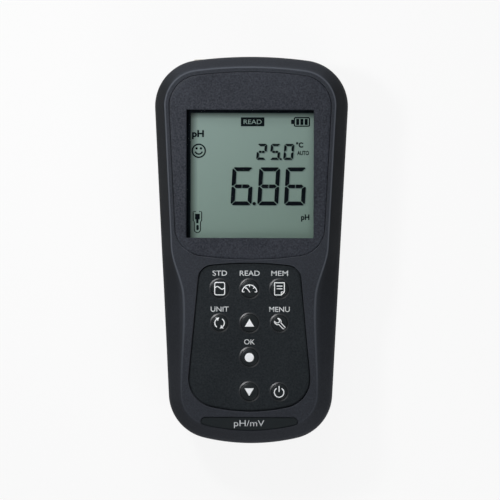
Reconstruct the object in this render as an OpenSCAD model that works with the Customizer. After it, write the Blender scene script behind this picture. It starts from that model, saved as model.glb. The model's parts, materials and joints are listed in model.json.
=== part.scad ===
// Portable pH meter, lying on its back with the display up.
// X runs across the face, Y runs up the face towards the sockets, Z comes out of the display.
// The origin is under the middle of the case, on the surface that the feet stand on.

/* [Case] */
// Length of the case, along Y
case_l = 160; // [156:1:172]
// Half width of the case at mid length
case_half_w = 37; // [36.5:0.5:42]
// Lean of each side in degrees, which makes the head wider than the foot
side_lean = 2.93; // [2.5:0.1:3.6]
// Height from the surface under the feet to the ridge round the face
case_h = 40.6; // [39.5:0.1:45]
// Height of the joint between the two halves
part_z = 19; // [18.6:0.1:20]
// Open joint between the halves, which the gasket fills
seam_gap = 0.6; // [0.4:0.1:0.8]
// Thickness of the walls of both halves
wall = 2.2; // [1.8:0.1:2.6]
// Radius of the two corners of the head
head_corner_r = 19.2; // [16:0.2:22]
// Radius of the crown across the head
head_crown_r = 175; // [120:5:260]
// Radius of the two corners of the foot
foot_corner_r = 19; // [16:0.5:21]
// Radius of the crown across the foot
foot_crown_r = 84; // [70:2:120]

/* [Shoulder and grip] */
// Width of the sloped shoulder, from the side to the ridge round the face
ridge_in = 5.4; // [4.8:0.1:5.6]
// How far the sides draw in towards the joint
side_bulge = 0.7; // [0.3:0.1:1]
// How much wider the shoulder gets where the thumbs hold the case
grip_depth = 4.2; // [2:0.2:5]
// Length over which the grip deepens, below the display
grip_fall = 21; // [16:1:26]
// How much of the grip fades out again towards the foot
grip_relax = 3; // [1.5:0.1:3.4]

/* [Display] */
// Distance from the head of the case to the display panel
panel_margin = 6.5; // [6.2:0.1:7]
// Share of the case's length that the display panel takes
panel_share = 0.484; // [0.47:0.001:0.495]
// Distance from the side of the case to the display panel
panel_side = 6.5; // [6.2:0.1:7]
// Radius of the two corners at the head of the panel
panel_head_r = 13; // [11:0.5:15]
// Radius of the two corners at the foot of the panel
panel_foot_r = 12; // [10:0.5:14]
// Thickness of the display panel
panel_t = 1; // [0.8:0.1:1.1]
// Depth of the recess that the display panel sits in
panel_recess = 1.3; // [1.2:0.1:1.5]
// Distance from the side of the panel to the screen opening
screen_side = 4.3; // [4.1:0.1:5.5]
// Distance from the head of the panel to the screen opening
screen_drop = 15.9; // [15:0.1:16.5]
// Distance from the screen opening to the foot of the panel
screen_rise = 8.9; // [8.6:0.1:10]
// Thickness of the clear window
window_t = 1; // [0.8:0.1:1.1]
// Thickness of the liquid crystal cell
lcd_t = 2.2; // [1.8:0.1:2.3]
// Thickness of the light guide behind the cell
light_t = 2.2; // [1.6:0.1:2.4]

/* [Keys] */
// Distance between the key columns
key_pitch_x = 12.3; // [11.8:0.1:12.8]
// Width of the keypad beside the outer key columns
keypad_side = 7.9; // [7.4:0.1:8.4]
// Distance from the keypad to the foot of the case
keypad_margin = 13.5; // [13:0.1:14.5]
// Gap between the display panel and the keypad
keypad_gap = 1.2; // [1:0.1:2]
// Distance from the head of the keypad to the first row of keys
key_head = 10.8; // [10.4:0.1:11.4]
// Distance from the last row of keys to the foot of the keypad
key_foot = 8.2; // [7.8:0.1:9]
// Diameter of the large keys
key_d = 7.3; // [6.8:0.1:7.6]
// Diameter of the small keys
small_key_d = 6.6; // [6.2:0.1:6.8]
// How far a key stands above the keypad overlay
key_proud = 1; // [0.8:0.1:1.2]
// Travel of a key
key_travel = 0.6; // [0.4:0.1:0.7]
// Depth of the keypad recess, without the overlay
keypad_recess = 2; // [1.8:0.1:2.2]
// Thickness of the keypad overlay
overlay_t = 0.8; // [0.6:0.1:1]
// Clearance round a key where it passes through the face
key_gap = 0.3; // [0.25:0.05:0.4]

/* [Sockets] */
// Depth of the socket bay, from the head of the case
bay_depth = 12.5; // [12:0.1:13.5]
// Width of the case on each side of the socket bay
bay_side = 8; // [7:0.1:8.2]
// Height of the socket axes
socket_z = 11.5; // [11.3:0.1:11.7]
// Diameter of the electrode socket's barrel
barrel_d = 9.6; // [9.4:0.1:9.8]
// Length of the electrode socket's barrel, from the wall of the bay
barrel_l = 11.7; // [11.2:0.1:11.9]
// Diameter of the temperature plug's bore
jack_d = 3.6; // [3.4:0.1:3.8]
// Length of the temperature jack in front of the wall
jack_l = 4.5; // [4:0.1:6]
// Diameter of the probe socket's shroud
shroud_d = 11.2; // [10.8:0.1:11.4]
// Length of the probe socket's shroud, from the wall of the bay
shroud_l = 6.5; // [6:0.1:8]

/* [Battery] */
// Diameter of a cell
cell_d = 14.5; // [14:0.1:14.5]
// Length of a cell
cell_l = 50.5; // [49:0.1:50.5]
// Thickness of the battery door
door_t = 2; // [1.8:0.1:2.2]
// Clearance round the battery door
door_gap = 0.25; // [0.2:0.05:0.4]

/* [Hidden] */
$fn = 64;

// Overshoot of a cut past the face that it opens, and the clearance of a close fit
cut = 1;
fit = 0.1;
// Points along an end arc, a corner arc and a straight side of an outline
arc_steps = 6;
corner_steps = 8;
side_steps = 20;

head_y = case_l / 2;
foot_y = -case_l / 2;
foot_h = 0.8;
seam_z = part_z + seam_gap;

// Heights in the face, from the ridge down
panel_floor_z = case_h - panel_recess;
face_skin = 1.1;
face_t = 1.7;
label_recess = 0.8;
label_t = 0.5;
pocket_z = panel_floor_z - face_skin;
keypad_floor_z = case_h - keypad_recess;
face_under_z = keypad_floor_z - face_t;
overlay_z = keypad_floor_z + overlay_t;
window_z = pocket_z - window_t;
lcd_z = window_z - fit - lcd_t;
light_z = lcd_z - fit - light_t;
board_t = 1.6;
board_z = light_z - 1.6;

// Outlines: half width at Y 0, lean, top, corner radius, crown radius, bottom, corner, crown
case_plan = [
    case_half_w, side_lean, head_y, head_corner_r, head_crown_r, foot_y, foot_corner_r, foot_crown_r
];
panel_half_w = case_half_w - panel_side;
panel_top_y = head_y - panel_margin;
panel_low_y = panel_top_y - panel_share * case_l;
panel_head_crown_r = head_crown_r - 5;
panel_foot_crown_r = 150;
panel_plan = [
    panel_half_w, side_lean, panel_top_y, panel_head_r, panel_head_crown_r, panel_low_y, panel_foot_r,
    panel_foot_crown_r
];
keypad_half_w = key_pitch_x + keypad_side;
keypad_lean = -5.4;
keypad_top_y = panel_low_y - keypad_gap;
keypad_low_y = foot_y + keypad_margin;
keypad_l = keypad_top_y - keypad_low_y;
keypad_head_r = 6;
keypad_head_crown_r = 136;
keypad_foot_r = 12;
keypad_foot_crown_r = 70;
keypad_plan = [
    keypad_half_w, keypad_lean, keypad_top_y, keypad_head_r, keypad_head_crown_r, keypad_low_y, keypad_foot_r,
    keypad_foot_crown_r
];
screen_w = 2 * (panel_half_w - screen_side);
screen_top_y = panel_top_y - screen_drop;
screen_low_y = panel_low_y + screen_rise;
screen_h = screen_top_y - screen_low_y;
screen_y = screen_top_y - screen_h / 2;
label_gap = 2.2;
label_in = 0.3;
label_corner_r = 2.5;
label_top_y = keypad_low_y - label_gap;
label_half_w = 20;

// Display stack, which sits in a pocket under the face
window_rim = 1.5;
window_w = screen_w + 2 * window_rim;
window_h = screen_h + 2 * window_rim;
lcd_w = window_w - 0.4;
lcd_h = window_h - 0.4;
frame_t = 1;
frame_w = lcd_w + 2 * (fit + frame_t);
frame_h = lcd_h + 2 * (fit + frame_t);
strip_w = 2.6;

// Key places, as column and row, and the heights of the key stack
key_row_y = keypad_top_y - key_head;
key_pitch_y = (keypad_l - key_head - key_foot) / 3;
flange_rim = 0.9;
flange_t = 0.8;
flange_z = face_under_z - fit - flange_t;
key_top_z = overlay_z + key_proud;
mat_top_z = flange_z - key_travel - 0.05;
switch_w = 6;
switch_h = 2.4;
switch_top_z = board_z + switch_h + 0.8;
stem_r = 1.6;
stem_z = switch_top_z + key_travel + fit;
mat_side = 6.5;
mat_end = 6.4;
mat_rim = 1.4;
mat_half_w = key_pitch_x + mat_side;
mat_z = board_z + switch_h + 0.2;
KEYS = [
    ["calibrate", -1, 0, key_d], ["measure", 0, 0, key_d], ["data", 1, 0, key_d],
    ["mode", -1, 1, small_key_d], ["up", 0, 1, key_d], ["setup", 1, 1, small_key_d],
    ["enter", 0, 2, key_d], ["down", 0, 3, key_d], ["power", 1, 3, small_key_d]
];

// Socket bay and the sockets' places along X
bay_y = head_y - bay_depth;
bulkhead_y = bay_y - wall;
bay_w = 2 * (case_half_w - bay_side);
shelf_t = 2;
electrode_x = -20;
probe_x = -2.6;
jack_x = 10.4;
port_x = 22;
port_w = 9;
port_h = 3.6;
hinge_drop = 5.9;
hinge_y = bay_y + 1.4;

// Shield can and buzzer, in line behind the sockets
can_y = bulkhead_y - 22;
can_w = 20;
can_l = 16;
can_h = 4;
buzzer_r = 6;
buzzer_h = 4.5;

// Battery compartment, measured from the foot of the case
tray_low_y = foot_y + 17.5;
spring_l = 5;
plate_t = 0.5;
tray_l = cell_l + spring_l + 2 * plate_t;
tray_half_w = cell_d + 2.8;
cell_x = cell_d / 2 + 0.75;
door_end = 6.5;
tray_ceiling_z = foot_h + door_t + 0.6 + 0.25 + cell_d + 0.35;
cell_z = foot_h + door_t + 0.6 + 0.25 + cell_d / 2;
door_half_w = tray_half_w + 1.5 - door_gap;
door_low_y = tray_low_y - door_end + door_gap;
door_high_y = tray_low_y + tray_l + door_end - door_gap;
ledge_z = foot_h + door_t + 0.6;

// Screws
function pair(x, y) = [[x, y], [-x, y]];
case_screws_at = concat(pair(case_half_w - 5.6, screen_top_y - 10), pair(case_half_w - 10.2, foot_y + 32));
case_screw_r = 1.2;
case_screw_l = 20;
case_head_r = 2.1;
case_head_h = 2;
case_boss_r = 2.2;
case_post_r = 3.6;
screw_sink = 4;
board_screw_x = frame_w / 2 - 4.3;
board_screws_at = concat(
    pair(board_screw_x, screen_top_y + 5.4),
    pair(board_screw_x, screen_low_y - 9),
    pair(keypad_half_w - 1.7, foot_y + 12.4)
);
board_screw_r = 1;
board_screw_l = 5;
board_head_r = 1.8;
board_head_h = 1.3;
board_boss_r = 2.2;
door_screw_r = 1;
door_screw_l = 6;
door_head_r = 2;
door_head_h = 1;
door_screws_at = [[0, tray_low_y - door_end / 2 - 0.2], [0, tray_low_y + tray_l + door_end / 2 + 0.2]];
feet_at = concat(pair(case_half_w - 10, bay_y - 10), pair(case_half_w - 13.2, foot_y + 21));
foot_r = 4;

case_colour = [0.17, 0.17, 0.19];
panel_colour = [0.2, 0.2, 0.22];
steel = [0.75, 0.76, 0.78];

// Smooth step from 0 to 1
function ease(t) = let (u = min(1, max(0, t))) u * u * (3 - 2 * u);
function mix(a, b, t) = a + (b - a) * t;

// Extra width of the shoulder at a point of the side
function grip(y) =
    grip_depth * ease((panel_low_y + 5 - y) / grip_fall)
    - grip_relax * ease((panel_low_y - 18 - y) / 40);

// Centre of the corner arc that touches the leaning side and the crown, at the top or the foot
function corner_at(s, up) = let (
    b = tan(s[1]),
    r = up ? s[3] : s[6],
    big = up ? s[4] : s[7],
    yc = up ? s[2] - big : s[5] + big,
    e = s[0] - r * sqrt(1 + b * b),
    qa = 1 + b * b,
    qb = 2 * (e * b - yc),
    qc = e * e + yc * yc - (big - r) * (big - r),
    y = (-qb + (up ? 1 : -1) * sqrt(qb * qb - 4 * qa * qc)) / (2 * qa)
) [e + b * y, y];

// Points of an arc, each with its outward normal
function arc_points(c, r, a0, a1, n, last) = [
    for (i = [0 : last ? n : n - 1]) let (a = mix(a0, a1, i / n))
        [c.x + r * cos(a), c.y + r * sin(a), cos(a), sin(a)]
];

// Right half of an outline, from the middle of the foot to the middle of the head
function half_rim(s) = let (
    low = corner_at(s, false),
    high = corner_at(s, true),
    yl = s[5] + s[7],
    yh = s[2] - s[4],
    al = atan2(low.y - yl, low.x),
    ah = atan2(high.y - yh, high.x),
    n = [cos(s[1]), -sin(s[1])],
    p = low + s[6] * n,
    q = high + s[3] * n
) concat(
    arc_points([0, yl], s[7], -90, al, arc_steps, false),
    arc_points(low, s[6], al, -s[1], corner_steps, false),
    [for (i = [0 : side_steps - 1]) let (t = i / side_steps) [mix(p.x, q.x, t), mix(p.y, q.y, t), n.x, n.y]],
    arc_points(high, s[3], -s[1], ah, corner_steps, false),
    arc_points([0, yh], s[4], ah, 90, arc_steps, true)
);

// Whole outline, counter-clockwise, as points with normals
function rim(s) = let (h = half_rim(s), n = len(h)) concat(
    h, [for (i = [n - 2 : -1 : 1]) [-h[i][0], h[i][1], -h[i][2], h[i][3]]]
);

// The outline drawn in by a distance, and by a share of the grip
function inset_points(s, d, share = 0) = [
    for (p = rim(s)) let (e = d + share * grip(p[1])) [p[0] - e * p[2], p[1] - e * p[3]]
];

// A closed skin through sections, each given as height, inset and share of the grip
module loft(s, levels) {
    rings = [for (v = levels) inset_points(s, v[1], v[2])];
    n = len(rings[0]);
    top = len(levels) - 1;
    polyhedron(
        points = [for (k = [0 : top]) for (p = rings[k]) [p.x, p.y, levels[k][0]]],
        faces = concat(
            [[for (i = [0 : n - 1]) i]],
            [[for (i = [n - 1 : -1 : 0]) top * n + i]],
            [for (k = [0 : n : (top - 1) * n]) for (i = [0 : n - 1]) [k + i, k + n + i, k + n + (i + 1) % n]],
            [for (k = [0 : n : (top - 1) * n]) for (i = [0 : n - 1])
                [k + i, k + n + (i + 1) % n, k + (i + 1) % n]]
        )
    );
}

module plate(s, d, z0, z1, share = 0) {
    translate([0, 0, z0]) linear_extrude(z1 - z0) polygon(inset_points(s, d, share));
}

// A block given by its half width, its ends along Y and its heights
module block(half_w, y0, y1, z0, z1) {
    translate([-half_w, y0, z0]) cube([2 * half_w, y1 - y0, z1 - z0]);
}

// A rod along Z, and a rod along Y, each between two ends
module post(at, r, z0, z1) {
    translate([at.x, at.y, z0]) cylinder(r = r, h = z1 - z0);
}

module rod_y(x, z, r, y0, y1) {
    translate([x, y0, z]) rotate([-90, 0, 0]) cylinder(r = r, h = y1 - y0);
}

// A plate with round corners
module round_plate(half_w, y0, y1, r, z0, z1) {
    translate([0, 0, z0]) linear_extrude(z1 - z0) union() {
        translate([-half_w + r, y0]) square([2 * (half_w - r), y1 - y0]);
        translate([-half_w, y0 + r]) square([2 * half_w, y1 - y0 - 2 * r]);
        for (x = [-half_w + r, half_w - r], y = [y0 + r, y1 - r]) translate([x, y]) circle(r);
    }
}

function key_at(k) = [k[1] * key_pitch_x, key_row_y - k[2] * key_pitch_y];

// Front half: the shoulder rises to a ridge, and the face is sunk for panel, keypad and label
module front_case() color(case_colour) {
    wide_z = mix(seam_z, case_h, 0.42);
    band_z = wide_z + 2.6;
    crest_z = case_h - 0.9;
    levels = [
        [seam_z, side_bulge, 0],
        [mix(seam_z, wide_z, 0.5), side_bulge / 4, 0],
        [wide_z, 0, 0],
        [band_z, ridge_in * 0.11, 0.05],
        [mix(band_z, crest_z, 0.5), ridge_in * 0.42, 0.45],
        [crest_z, ridge_in * 0.75, 0.86],
        [mix(crest_z, case_h, 0.65), ridge_in * 0.86, 0.96],
        [case_h, ridge_in, 1]
    ];
    step_z = board_z;
    difference() {
        loft(case_plan, levels);
        difference() {
            union() {
                plate(case_plan, side_bulge + wall, seam_z - cut, step_z);
                plate(case_plan, ridge_in * 0.55 + wall, step_z - fit, face_under_z, 1);
                block(window_w / 2 + fit, screen_y - window_h / 2 - fit, screen_y + window_h / 2 + fit,
                    face_under_z - fit, pocket_z);
            }
            for (p = case_screws_at) post(p, case_boss_r, seam_z, p.y > 0 ? face_under_z : step_z + 3);
            for (p = board_screws_at) post(p, board_boss_r, board_z, face_under_z);
            block(case_half_w + 8, bulkhead_y, head_y, seam_z, seam_z + shelf_t);
        }
        plate(panel_plan, 0, panel_floor_z, case_h + cut);
        block(screen_w / 2, screen_low_y, screen_top_y, pocket_z - cut, case_h + cut);
        plate(keypad_plan, 0, keypad_floor_z, case_h + cut);
        label_space(0, case_h - label_recess, case_h + cut);
        for (k = KEYS) post(key_at(k), k[3] / 2 + key_gap, face_under_z - cut, case_h);
        for (p = case_screws_at) post(p, case_screw_r + 0.05, seam_z - cut, seam_z + 10);
        for (p = board_screws_at) post(p, board_screw_r + 0.05, board_z - cut, board_z + 4.5);
    }
}

// Space of the label at the foot, which follows the end of the case
module label_space(gap, z0, z1) {
    intersection() {
        plate(case_plan, ridge_in + label_in + gap, z0, z1);
        round_plate(label_half_w - gap, foot_y, label_top_y - gap, label_corner_r, z0, z1);
    }
}

// Rear half: a tub with the battery compartment, the socket bay and the screw posts
module rear_case() color(case_colour) {
    levels = [
        [foot_h, 5.2, 0],
        [foot_h + 0.25, 3.9, 0],
        [foot_h + 1, 2.8, 0],
        [foot_h + 2.6, 1.9, 0],
        [mix(foot_h, part_z, 0.35), side_bulge + 0.5, 0],
        [mix(foot_h, part_z, 0.7), side_bulge + 0.1, 0],
        [part_z, side_bulge, 0]
    ];
    difference() {
        union() {
            difference() {
                loft(case_plan, levels);
                intersection() {
                    plate(case_plan, side_bulge + wall + 0.7, foot_h + wall, part_z + cut);
                    block(case_half_w + 8, foot_y, bulkhead_y, foot_h, part_z + 2 * cut);
                }
            }
            block(tray_half_w + 3.5, tray_low_y - door_end - 2, tray_low_y + tray_l + door_end + 2,
                foot_h + fit, tray_ceiling_z + wall);
            for (p = case_screws_at) post(p, case_post_r, foot_h + fit, part_z);
        }
        block(bay_w / 2, bay_y, head_y + cut, 0, part_z + cut);
        block(tray_half_w, tray_low_y, tray_low_y + tray_l, 0, tray_ceiling_z);
        round_plate(door_half_w + door_gap, door_low_y - door_gap, door_high_y + door_gap, 3, 0, ledge_z);
        for (p = door_screws_at) post(p, door_screw_r + 0.05, 0, ledge_z + door_screw_l - 1);
        for (p = case_screws_at) {
            post(p, case_screw_r + 0.2, 0, part_z + cut);
            post(p, case_head_r + 0.3, 0, foot_h + screw_sink);
        }
        for (p = feet_at) post(p, foot_r, 0, 2 * foot_h);
        rod_y(electrode_x, socket_z, barrel_d / 2, bulkhead_y - cut, bay_y + cut);
        rod_y(probe_x, socket_z, shroud_d / 2 - 0.8, bulkhead_y - cut, bay_y + cut);
        rod_y(jack_x, socket_z, 3.05, bulkhead_y - cut, bay_y + cut);
        translate([port_x, 0, socket_z]) block_z(port_w + 0.2, port_h + 0.2, bulkhead_y - cut, bay_y + cut);
    }
}

// A block centred on an axis along Y
module block_z(w, h, y0, y1) {
    translate([-w / 2, y0, -h / 2]) cube([w, y1 - y0, h]);
}

// Seal between the halves, which runs round the socket bay
module case_gasket() color([0.1, 0.1, 0.1]) {
    translate([0, 0, part_z]) linear_extrude(seam_gap) difference() {
        gasket_plan(0);
        gasket_plan(1.4);
    }
}

module gasket_plan(d) {
    intersection() {
        polygon(inset_points(case_plan, side_bulge + 0.4 + d));
        translate([-case_half_w - 10, foot_y]) square([2 * case_half_w + 20, bay_y - 0.4 - d - foot_y]);
    }
}

module display_panel() color(panel_colour) {
    difference() {
        plate(panel_plan, 0.15, panel_floor_z, panel_floor_z + panel_t);
        block(screen_w / 2, screen_low_y, screen_top_y, panel_floor_z - cut, case_h);
    }
}

module display_window() color([0.75, 0.85, 0.85, 0.5]) {
    block(window_w / 2, screen_y - window_h / 2, screen_y + window_h / 2, window_z, pocket_z);
}

module lcd_cell() color([0.5, 0.57, 0.55]) {
    block(lcd_w / 2, screen_y - lcd_h / 2, screen_y + lcd_h / 2, lcd_z, lcd_z + lcd_t);
}

module light_guide() color("white") {
    half_l = lcd_h / 2 - strip_w - 0.4;
    block(lcd_w / 2, screen_y - half_l, screen_y + half_l, light_z, light_z + light_t);
}

// Frame that holds the cell, the light guide and the contact strips on the board
module lcd_frame() color([0.15, 0.15, 0.15]) {
    half_l = lcd_h / 2 - strip_w - 3;
    difference() {
        block(frame_w / 2, screen_y - frame_h / 2, screen_y + frame_h / 2, board_z, face_under_z - fit);
        block(lcd_w / 2 + fit, screen_y - lcd_h / 2 - fit, screen_y + lcd_h / 2 + fit, light_z, face_under_z);
        block(lcd_w / 2 - 3, screen_y - half_l, screen_y + half_l, board_z - cut, light_z + cut);
        for (side = [-1, 1]) translate([0, screen_y + side * (lcd_h / 2 - strip_w / 2), 0])
            block(lcd_w / 2 - 1, -strip_w / 2, strip_w / 2, board_z - cut, light_z + cut);
    }
}

module contact_strips() color([0.3, 0.25, 0.3]) {
    for (side = [-1, 1]) translate([0, screen_y + side * (lcd_h / 2 - strip_w / 2), 0])
        block(lcd_w / 2 - 1.2, -strip_w / 2 + 0.2, strip_w / 2 - 0.2, board_z, lcd_z);
}

// Board: wide behind the display, narrower behind the keys to clear the lower case screws
module main_board() color([0.05, 0.35, 0.2]) {
    difference() {
        union() {
            round_plate(frame_w / 2, screen_low_y - 14, bulkhead_y - 0.5, 3, board_z - board_t, board_z);
            round_plate(23.8, foot_y + 8, screen_low_y - 10, 8, board_z - board_t, board_z);
        }
        for (p = board_screws_at) post(p, board_screw_r + 0.2, board_z - board_t - cut, board_z + cut);
    }
}

module tact_switches() color([0.2, 0.2, 0.2]) {
    for (k = KEYS) translate([key_at(k).x, key_at(k).y, board_z]) {
        block(switch_w / 2, -switch_w / 2, switch_w / 2, 0, switch_h);
        cylinder(r = 1.5, h = switch_top_z - board_z);
    }
}

// Square chips on the back of the board, each as place and half width: two behind the screen,
// two behind the keys
module board_chips() color([0.1, 0.1, 0.11]) {
    chip_t = 1.4;
    large = 6;
    high_y = can_y - can_l / 2 - 3 - large;
    low_y = mix(keypad_low_y, keypad_top_y, 0.65);
    for (c = [[-9, high_y, large], [10, high_y + 2, 4.5], [0, low_y, 4], [-14, low_y - 6, 3]])
        translate([c.x, c.y, 0]) block(c[2], -c[2], c[2], board_z - board_t - chip_t, board_z - board_t);
}

// Tin can over the input amplifier, on the back of the board near the sockets
module shield_can() color(steel) {
    sheet_t = 0.4;
    translate([electrode_x + 4, can_y, board_z - board_t - can_h]) difference() {
        block(can_w / 2, -can_l / 2, can_l / 2, 0, can_h);
        block(can_w / 2 - sheet_t, sheet_t - can_l / 2, can_l / 2 - sheet_t, sheet_t, can_h + board_t);
    }
}

module buzzer() color([0.12, 0.12, 0.12]) {
    translate([20, can_y, board_z - board_t - buzzer_h]) difference() {
        cylinder(r = buzzer_r, h = buzzer_h);
        translate([0, 0, -cut]) cylinder(r = 1.1, h = cut + 1);
    }
}

module keypad_overlay() color([0.16, 0.17, 0.18]) {
    difference() {
        plate(keypad_plan, 0.3, keypad_floor_z, overlay_z);
        for (k = KEYS) post(key_at(k), k[3] / 2 + key_gap - 0.05, keypad_floor_z - cut, case_h);
    }
}

// Rubber mat: a web over the switches inside a rim that stands between the board and the face
module keypad_mat() color([0.25, 0.25, 0.27]) {
    y0 = key_row_y - 3 * key_pitch_y - mat_end;
    y1 = key_row_y + mat_end;
    difference() {
        block(mat_half_w, y0, y1, board_z, face_under_z);
        block(mat_half_w - mat_rim, y0 + mat_rim, y1 - mat_rim, mat_top_z, face_under_z + cut);
        block(mat_half_w - mat_rim, y0 + mat_rim, y1 - mat_rim, board_z - cut, mat_z);
        for (k = KEYS) post(key_at(k), stem_r + 0.5, board_z, face_under_z);
    }
}

module label_plate() color([0.14, 0.15, 0.16]) {
    label_space(0.2, case_h - label_recess, case_h - label_recess + label_t);
}

// Electrode socket: flange and barrel with two bayonet lugs, and a shank through the wall
module electrode_socket() color(steel) {
    end_y = bay_y + barrel_l;
    lug_y = end_y - 5.4;
    difference() {
        union() {
            rod_y(electrode_x, socket_z, barrel_d / 2, lug_y + 1.2, end_y);
            rod_y(electrode_x, socket_z, barrel_d / 2 - 0.1, bay_y, lug_y + 1.3);
            rod_y(electrode_x, socket_z, 6.1, bay_y, bay_y + 1.5);
            rod_y(electrode_x, socket_z, barrel_d / 2 - 0.1, bulkhead_y - 5, bay_y + cut);
            translate([electrode_x, lug_y, socket_z - 5.6]) cylinder(r = 1, h = 11.2);
        }
        rod_y(electrode_x, socket_z, 4.1, bay_y + 3.5, end_y + cut);
        rod_y(electrode_x, socket_z, 3.2, bulkhead_y - 5 - cut, end_y);
    }
}

module socket_insulator() color("white") {
    difference() {
        union() {
            rod_y(electrode_x, socket_z, 3.15, bulkhead_y - 5, bay_y + 4);
            rod_y(electrode_x, socket_z, 2.4, bay_y + 4, bay_y + barrel_l - 1.6);
        }
        rod_y(electrode_x, socket_z, 1.05, bulkhead_y - 6, bay_y + barrel_l);
    }
}

module socket_contact() color("gold") {
    difference() {
        rod_y(electrode_x, socket_z, 1, bulkhead_y - 9, bay_y + barrel_l - 2);
        rod_y(electrode_x, socket_z, 0.6, bay_y + 3, bay_y + barrel_l);
    }
}

module socket_nut() color(steel) {
    difference() {
        translate([electrode_x, bulkhead_y - 2.2, socket_z]) rotate([-90, 0, 0])
            cylinder(r = 6.6, h = 2.2, $fn = 6);
        rod_y(electrode_x, socket_z, barrel_d / 2 - 0.05, bulkhead_y - 4, bay_y);
    }
}

// Probe socket: a round shroud that is keyed, with a core and six pins
module probe_socket() color(steel) {
    difference() {
        union() {
            rod_y(probe_x, socket_z, shroud_d / 2, bay_y, bay_y + shroud_l);
            rod_y(probe_x, socket_z, shroud_d / 2 - 0.9, bulkhead_y - 3, bay_y + cut);
        }
        rod_y(probe_x, socket_z, shroud_d / 2 - 1.2, bay_y + 1, bay_y + shroud_l + cut);
        rod_y(probe_x, socket_z, shroud_d / 2 - 1.7, bulkhead_y - 4, bay_y + 2);
    }
}

module probe_socket_core() color([0.12, 0.12, 0.12]) {
    core_r = shroud_d / 2 - 1.75;
    difference() {
        union() {
            rod_y(probe_x, socket_z, core_r, bulkhead_y - 3, bay_y + 1.6);
            translate([probe_x, 0, socket_z - core_r + 0.7])
                block_z(1.2, 1.4, bay_y + 1, bay_y + shroud_l - 1);
        }
        for (a = [0 : 60 : 300])
            rod_y(probe_x + 2.4 * cos(a), socket_z + 2.4 * sin(a), 0.45, bulkhead_y - 4, bay_y + 2);
    }
}

module probe_pins() color("gold") {
    for (a = [0 : 60 : 300])
        rod_y(probe_x + 2.4 * cos(a), socket_z + 2.4 * sin(a), 0.42, bulkhead_y - 6, bay_y + shroud_l - 1.5);
}

// Temperature jack: a threaded bush in front of the wall, a ring nut and a body behind the wall
module temperature_jack() color(steel) {
    difference() {
        rod_y(jack_x, socket_z, 3, bulkhead_y - 1, bay_y + jack_l);
        rod_y(jack_x, socket_z, jack_d / 2, bulkhead_y - 2, bay_y + jack_l + cut);
    }
}

module jack_nut() color(steel) {
    difference() {
        rod_y(jack_x, socket_z, 4.2, bay_y, bay_y + 2);
        rod_y(jack_x, socket_z, 3.05, bay_y - cut, bay_y + 3);
        for (a = [0 : 90 : 270]) translate([jack_x, bay_y + 1.4, socket_z]) rotate([0, a, 0])
            translate([3.4, 0, -0.5]) cube([2, 2, 1]);
    }
}

module jack_body() color([0.1, 0.1, 0.1]) {
    difference() {
        translate([jack_x, 0, socket_z]) block_z(8, 7, bulkhead_y - 11, bulkhead_y - 1);
        rod_y(jack_x, socket_z, jack_d / 2, bulkhead_y - 9.5, bulkhead_y);
    }
}

// Data port, its bezel with two hinge ears, and the cover that swings down from it
module data_port() color(steel) {
    translate([port_x, 0, socket_z]) difference() {
        block_z(port_w, port_h, bulkhead_y - 5, bay_y + 0.4);
        block_z(port_w - 0.6, port_h - 0.6, bulkhead_y - 4, bay_y + 2);
    }
}

module port_bezel() color([0.12, 0.12, 0.13]) {
    difference() {
        union() {
            translate([port_x, 0, socket_z]) block_z(port_w + 2.6, port_h + 3.4, bay_y, bay_y + 0.8);
            for (side = [-1, 1]) translate([port_x + side * 4.6, 0, socket_z - hinge_drop])
                block_z(1.6, 3, bay_y, hinge_y + 1);
            for (side = [-1, 1]) translate([port_x + side * 4.6, 0, socket_z - 3.9])
                block_z(1.6, 1.6, bay_y, bay_y + 0.8);
        }
        translate([port_x, 0, socket_z]) block_z(port_w + 0.2, port_h + 0.2, bay_y - cut, bay_y + 3);
        translate([port_x - 6, hinge_y, socket_z - hinge_drop]) rotate([0, 90, 0]) cylinder(r = 0.55, h = 12);
    }
}

module port_cover() color([0.09, 0.09, 0.1]) {
    lid_y = bay_y + 1.1;
    difference() {
        union() {
            translate([port_x, 0, socket_z]) block_z(port_w + 2.6, port_h + 3.2, lid_y, lid_y + 1.4);
            translate([port_x, 0, socket_z]) block_z(port_w - 1.6, port_h - 1.4, bay_y + 0.2, lid_y + cut);
            translate([port_x, 0, socket_z - 4.3]) block_z(6.6, 3.6, hinge_y - 0.3, lid_y + 1.4);
            translate([port_x - 3.3, hinge_y, socket_z - hinge_drop]) rotate([0, 90, 0])
                cylinder(r = 1.1, h = 6.6);
            translate([port_x, 0, socket_z + port_h / 2 + 2.1]) block_z(5, 1.2, lid_y, lid_y + 2);
        }
        translate([port_x - 6, hinge_y, socket_z - hinge_drop]) rotate([0, 90, 0]) cylinder(r = 0.6, h = 12);
    }
}

module port_cover_pin() color(steel) {
    translate([port_x - 5.4, hinge_y, socket_z - hinge_drop]) rotate([0, 90, 0]) cylinder(r = 0.5, h = 10.8);
}

// Small board that stands behind the sockets and carries their pins
module socket_board() color([0.05, 0.35, 0.2]) {
    y0 = bulkhead_y - 13.4;
    difference() {
        translate([2, 0, socket_z]) block_z(52, 14, y0, y0 + 1.4);
        rod_y(electrode_x, socket_z, 1.2, y0 - cut, y0 + 3);
    }
}

// Flat cable from the socket board up to the main board
module ribbon_cable() color([0.7, 0.7, 0.72]) {
    y0 = bulkhead_y - 14.2;
    translate([2, 0, 0]) {
        block(8, y0, y0 + 0.8, socket_z + 1, board_z - board_t);
    }
}

module battery_door() color(case_colour) {
    difference() {
        round_plate(door_half_w, door_low_y, door_high_y, 3, foot_h, foot_h + door_t);
        for (p = door_screws_at) {
            post(p, 1.3, 0, ledge_z);
            post(p, door_head_r + 0.2, 0, foot_h + fit + door_head_h);
        }
        for (i = [0 : 5]) round_groove(tray_low_y + 4 + 2.4 * i);
    }
}

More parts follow.
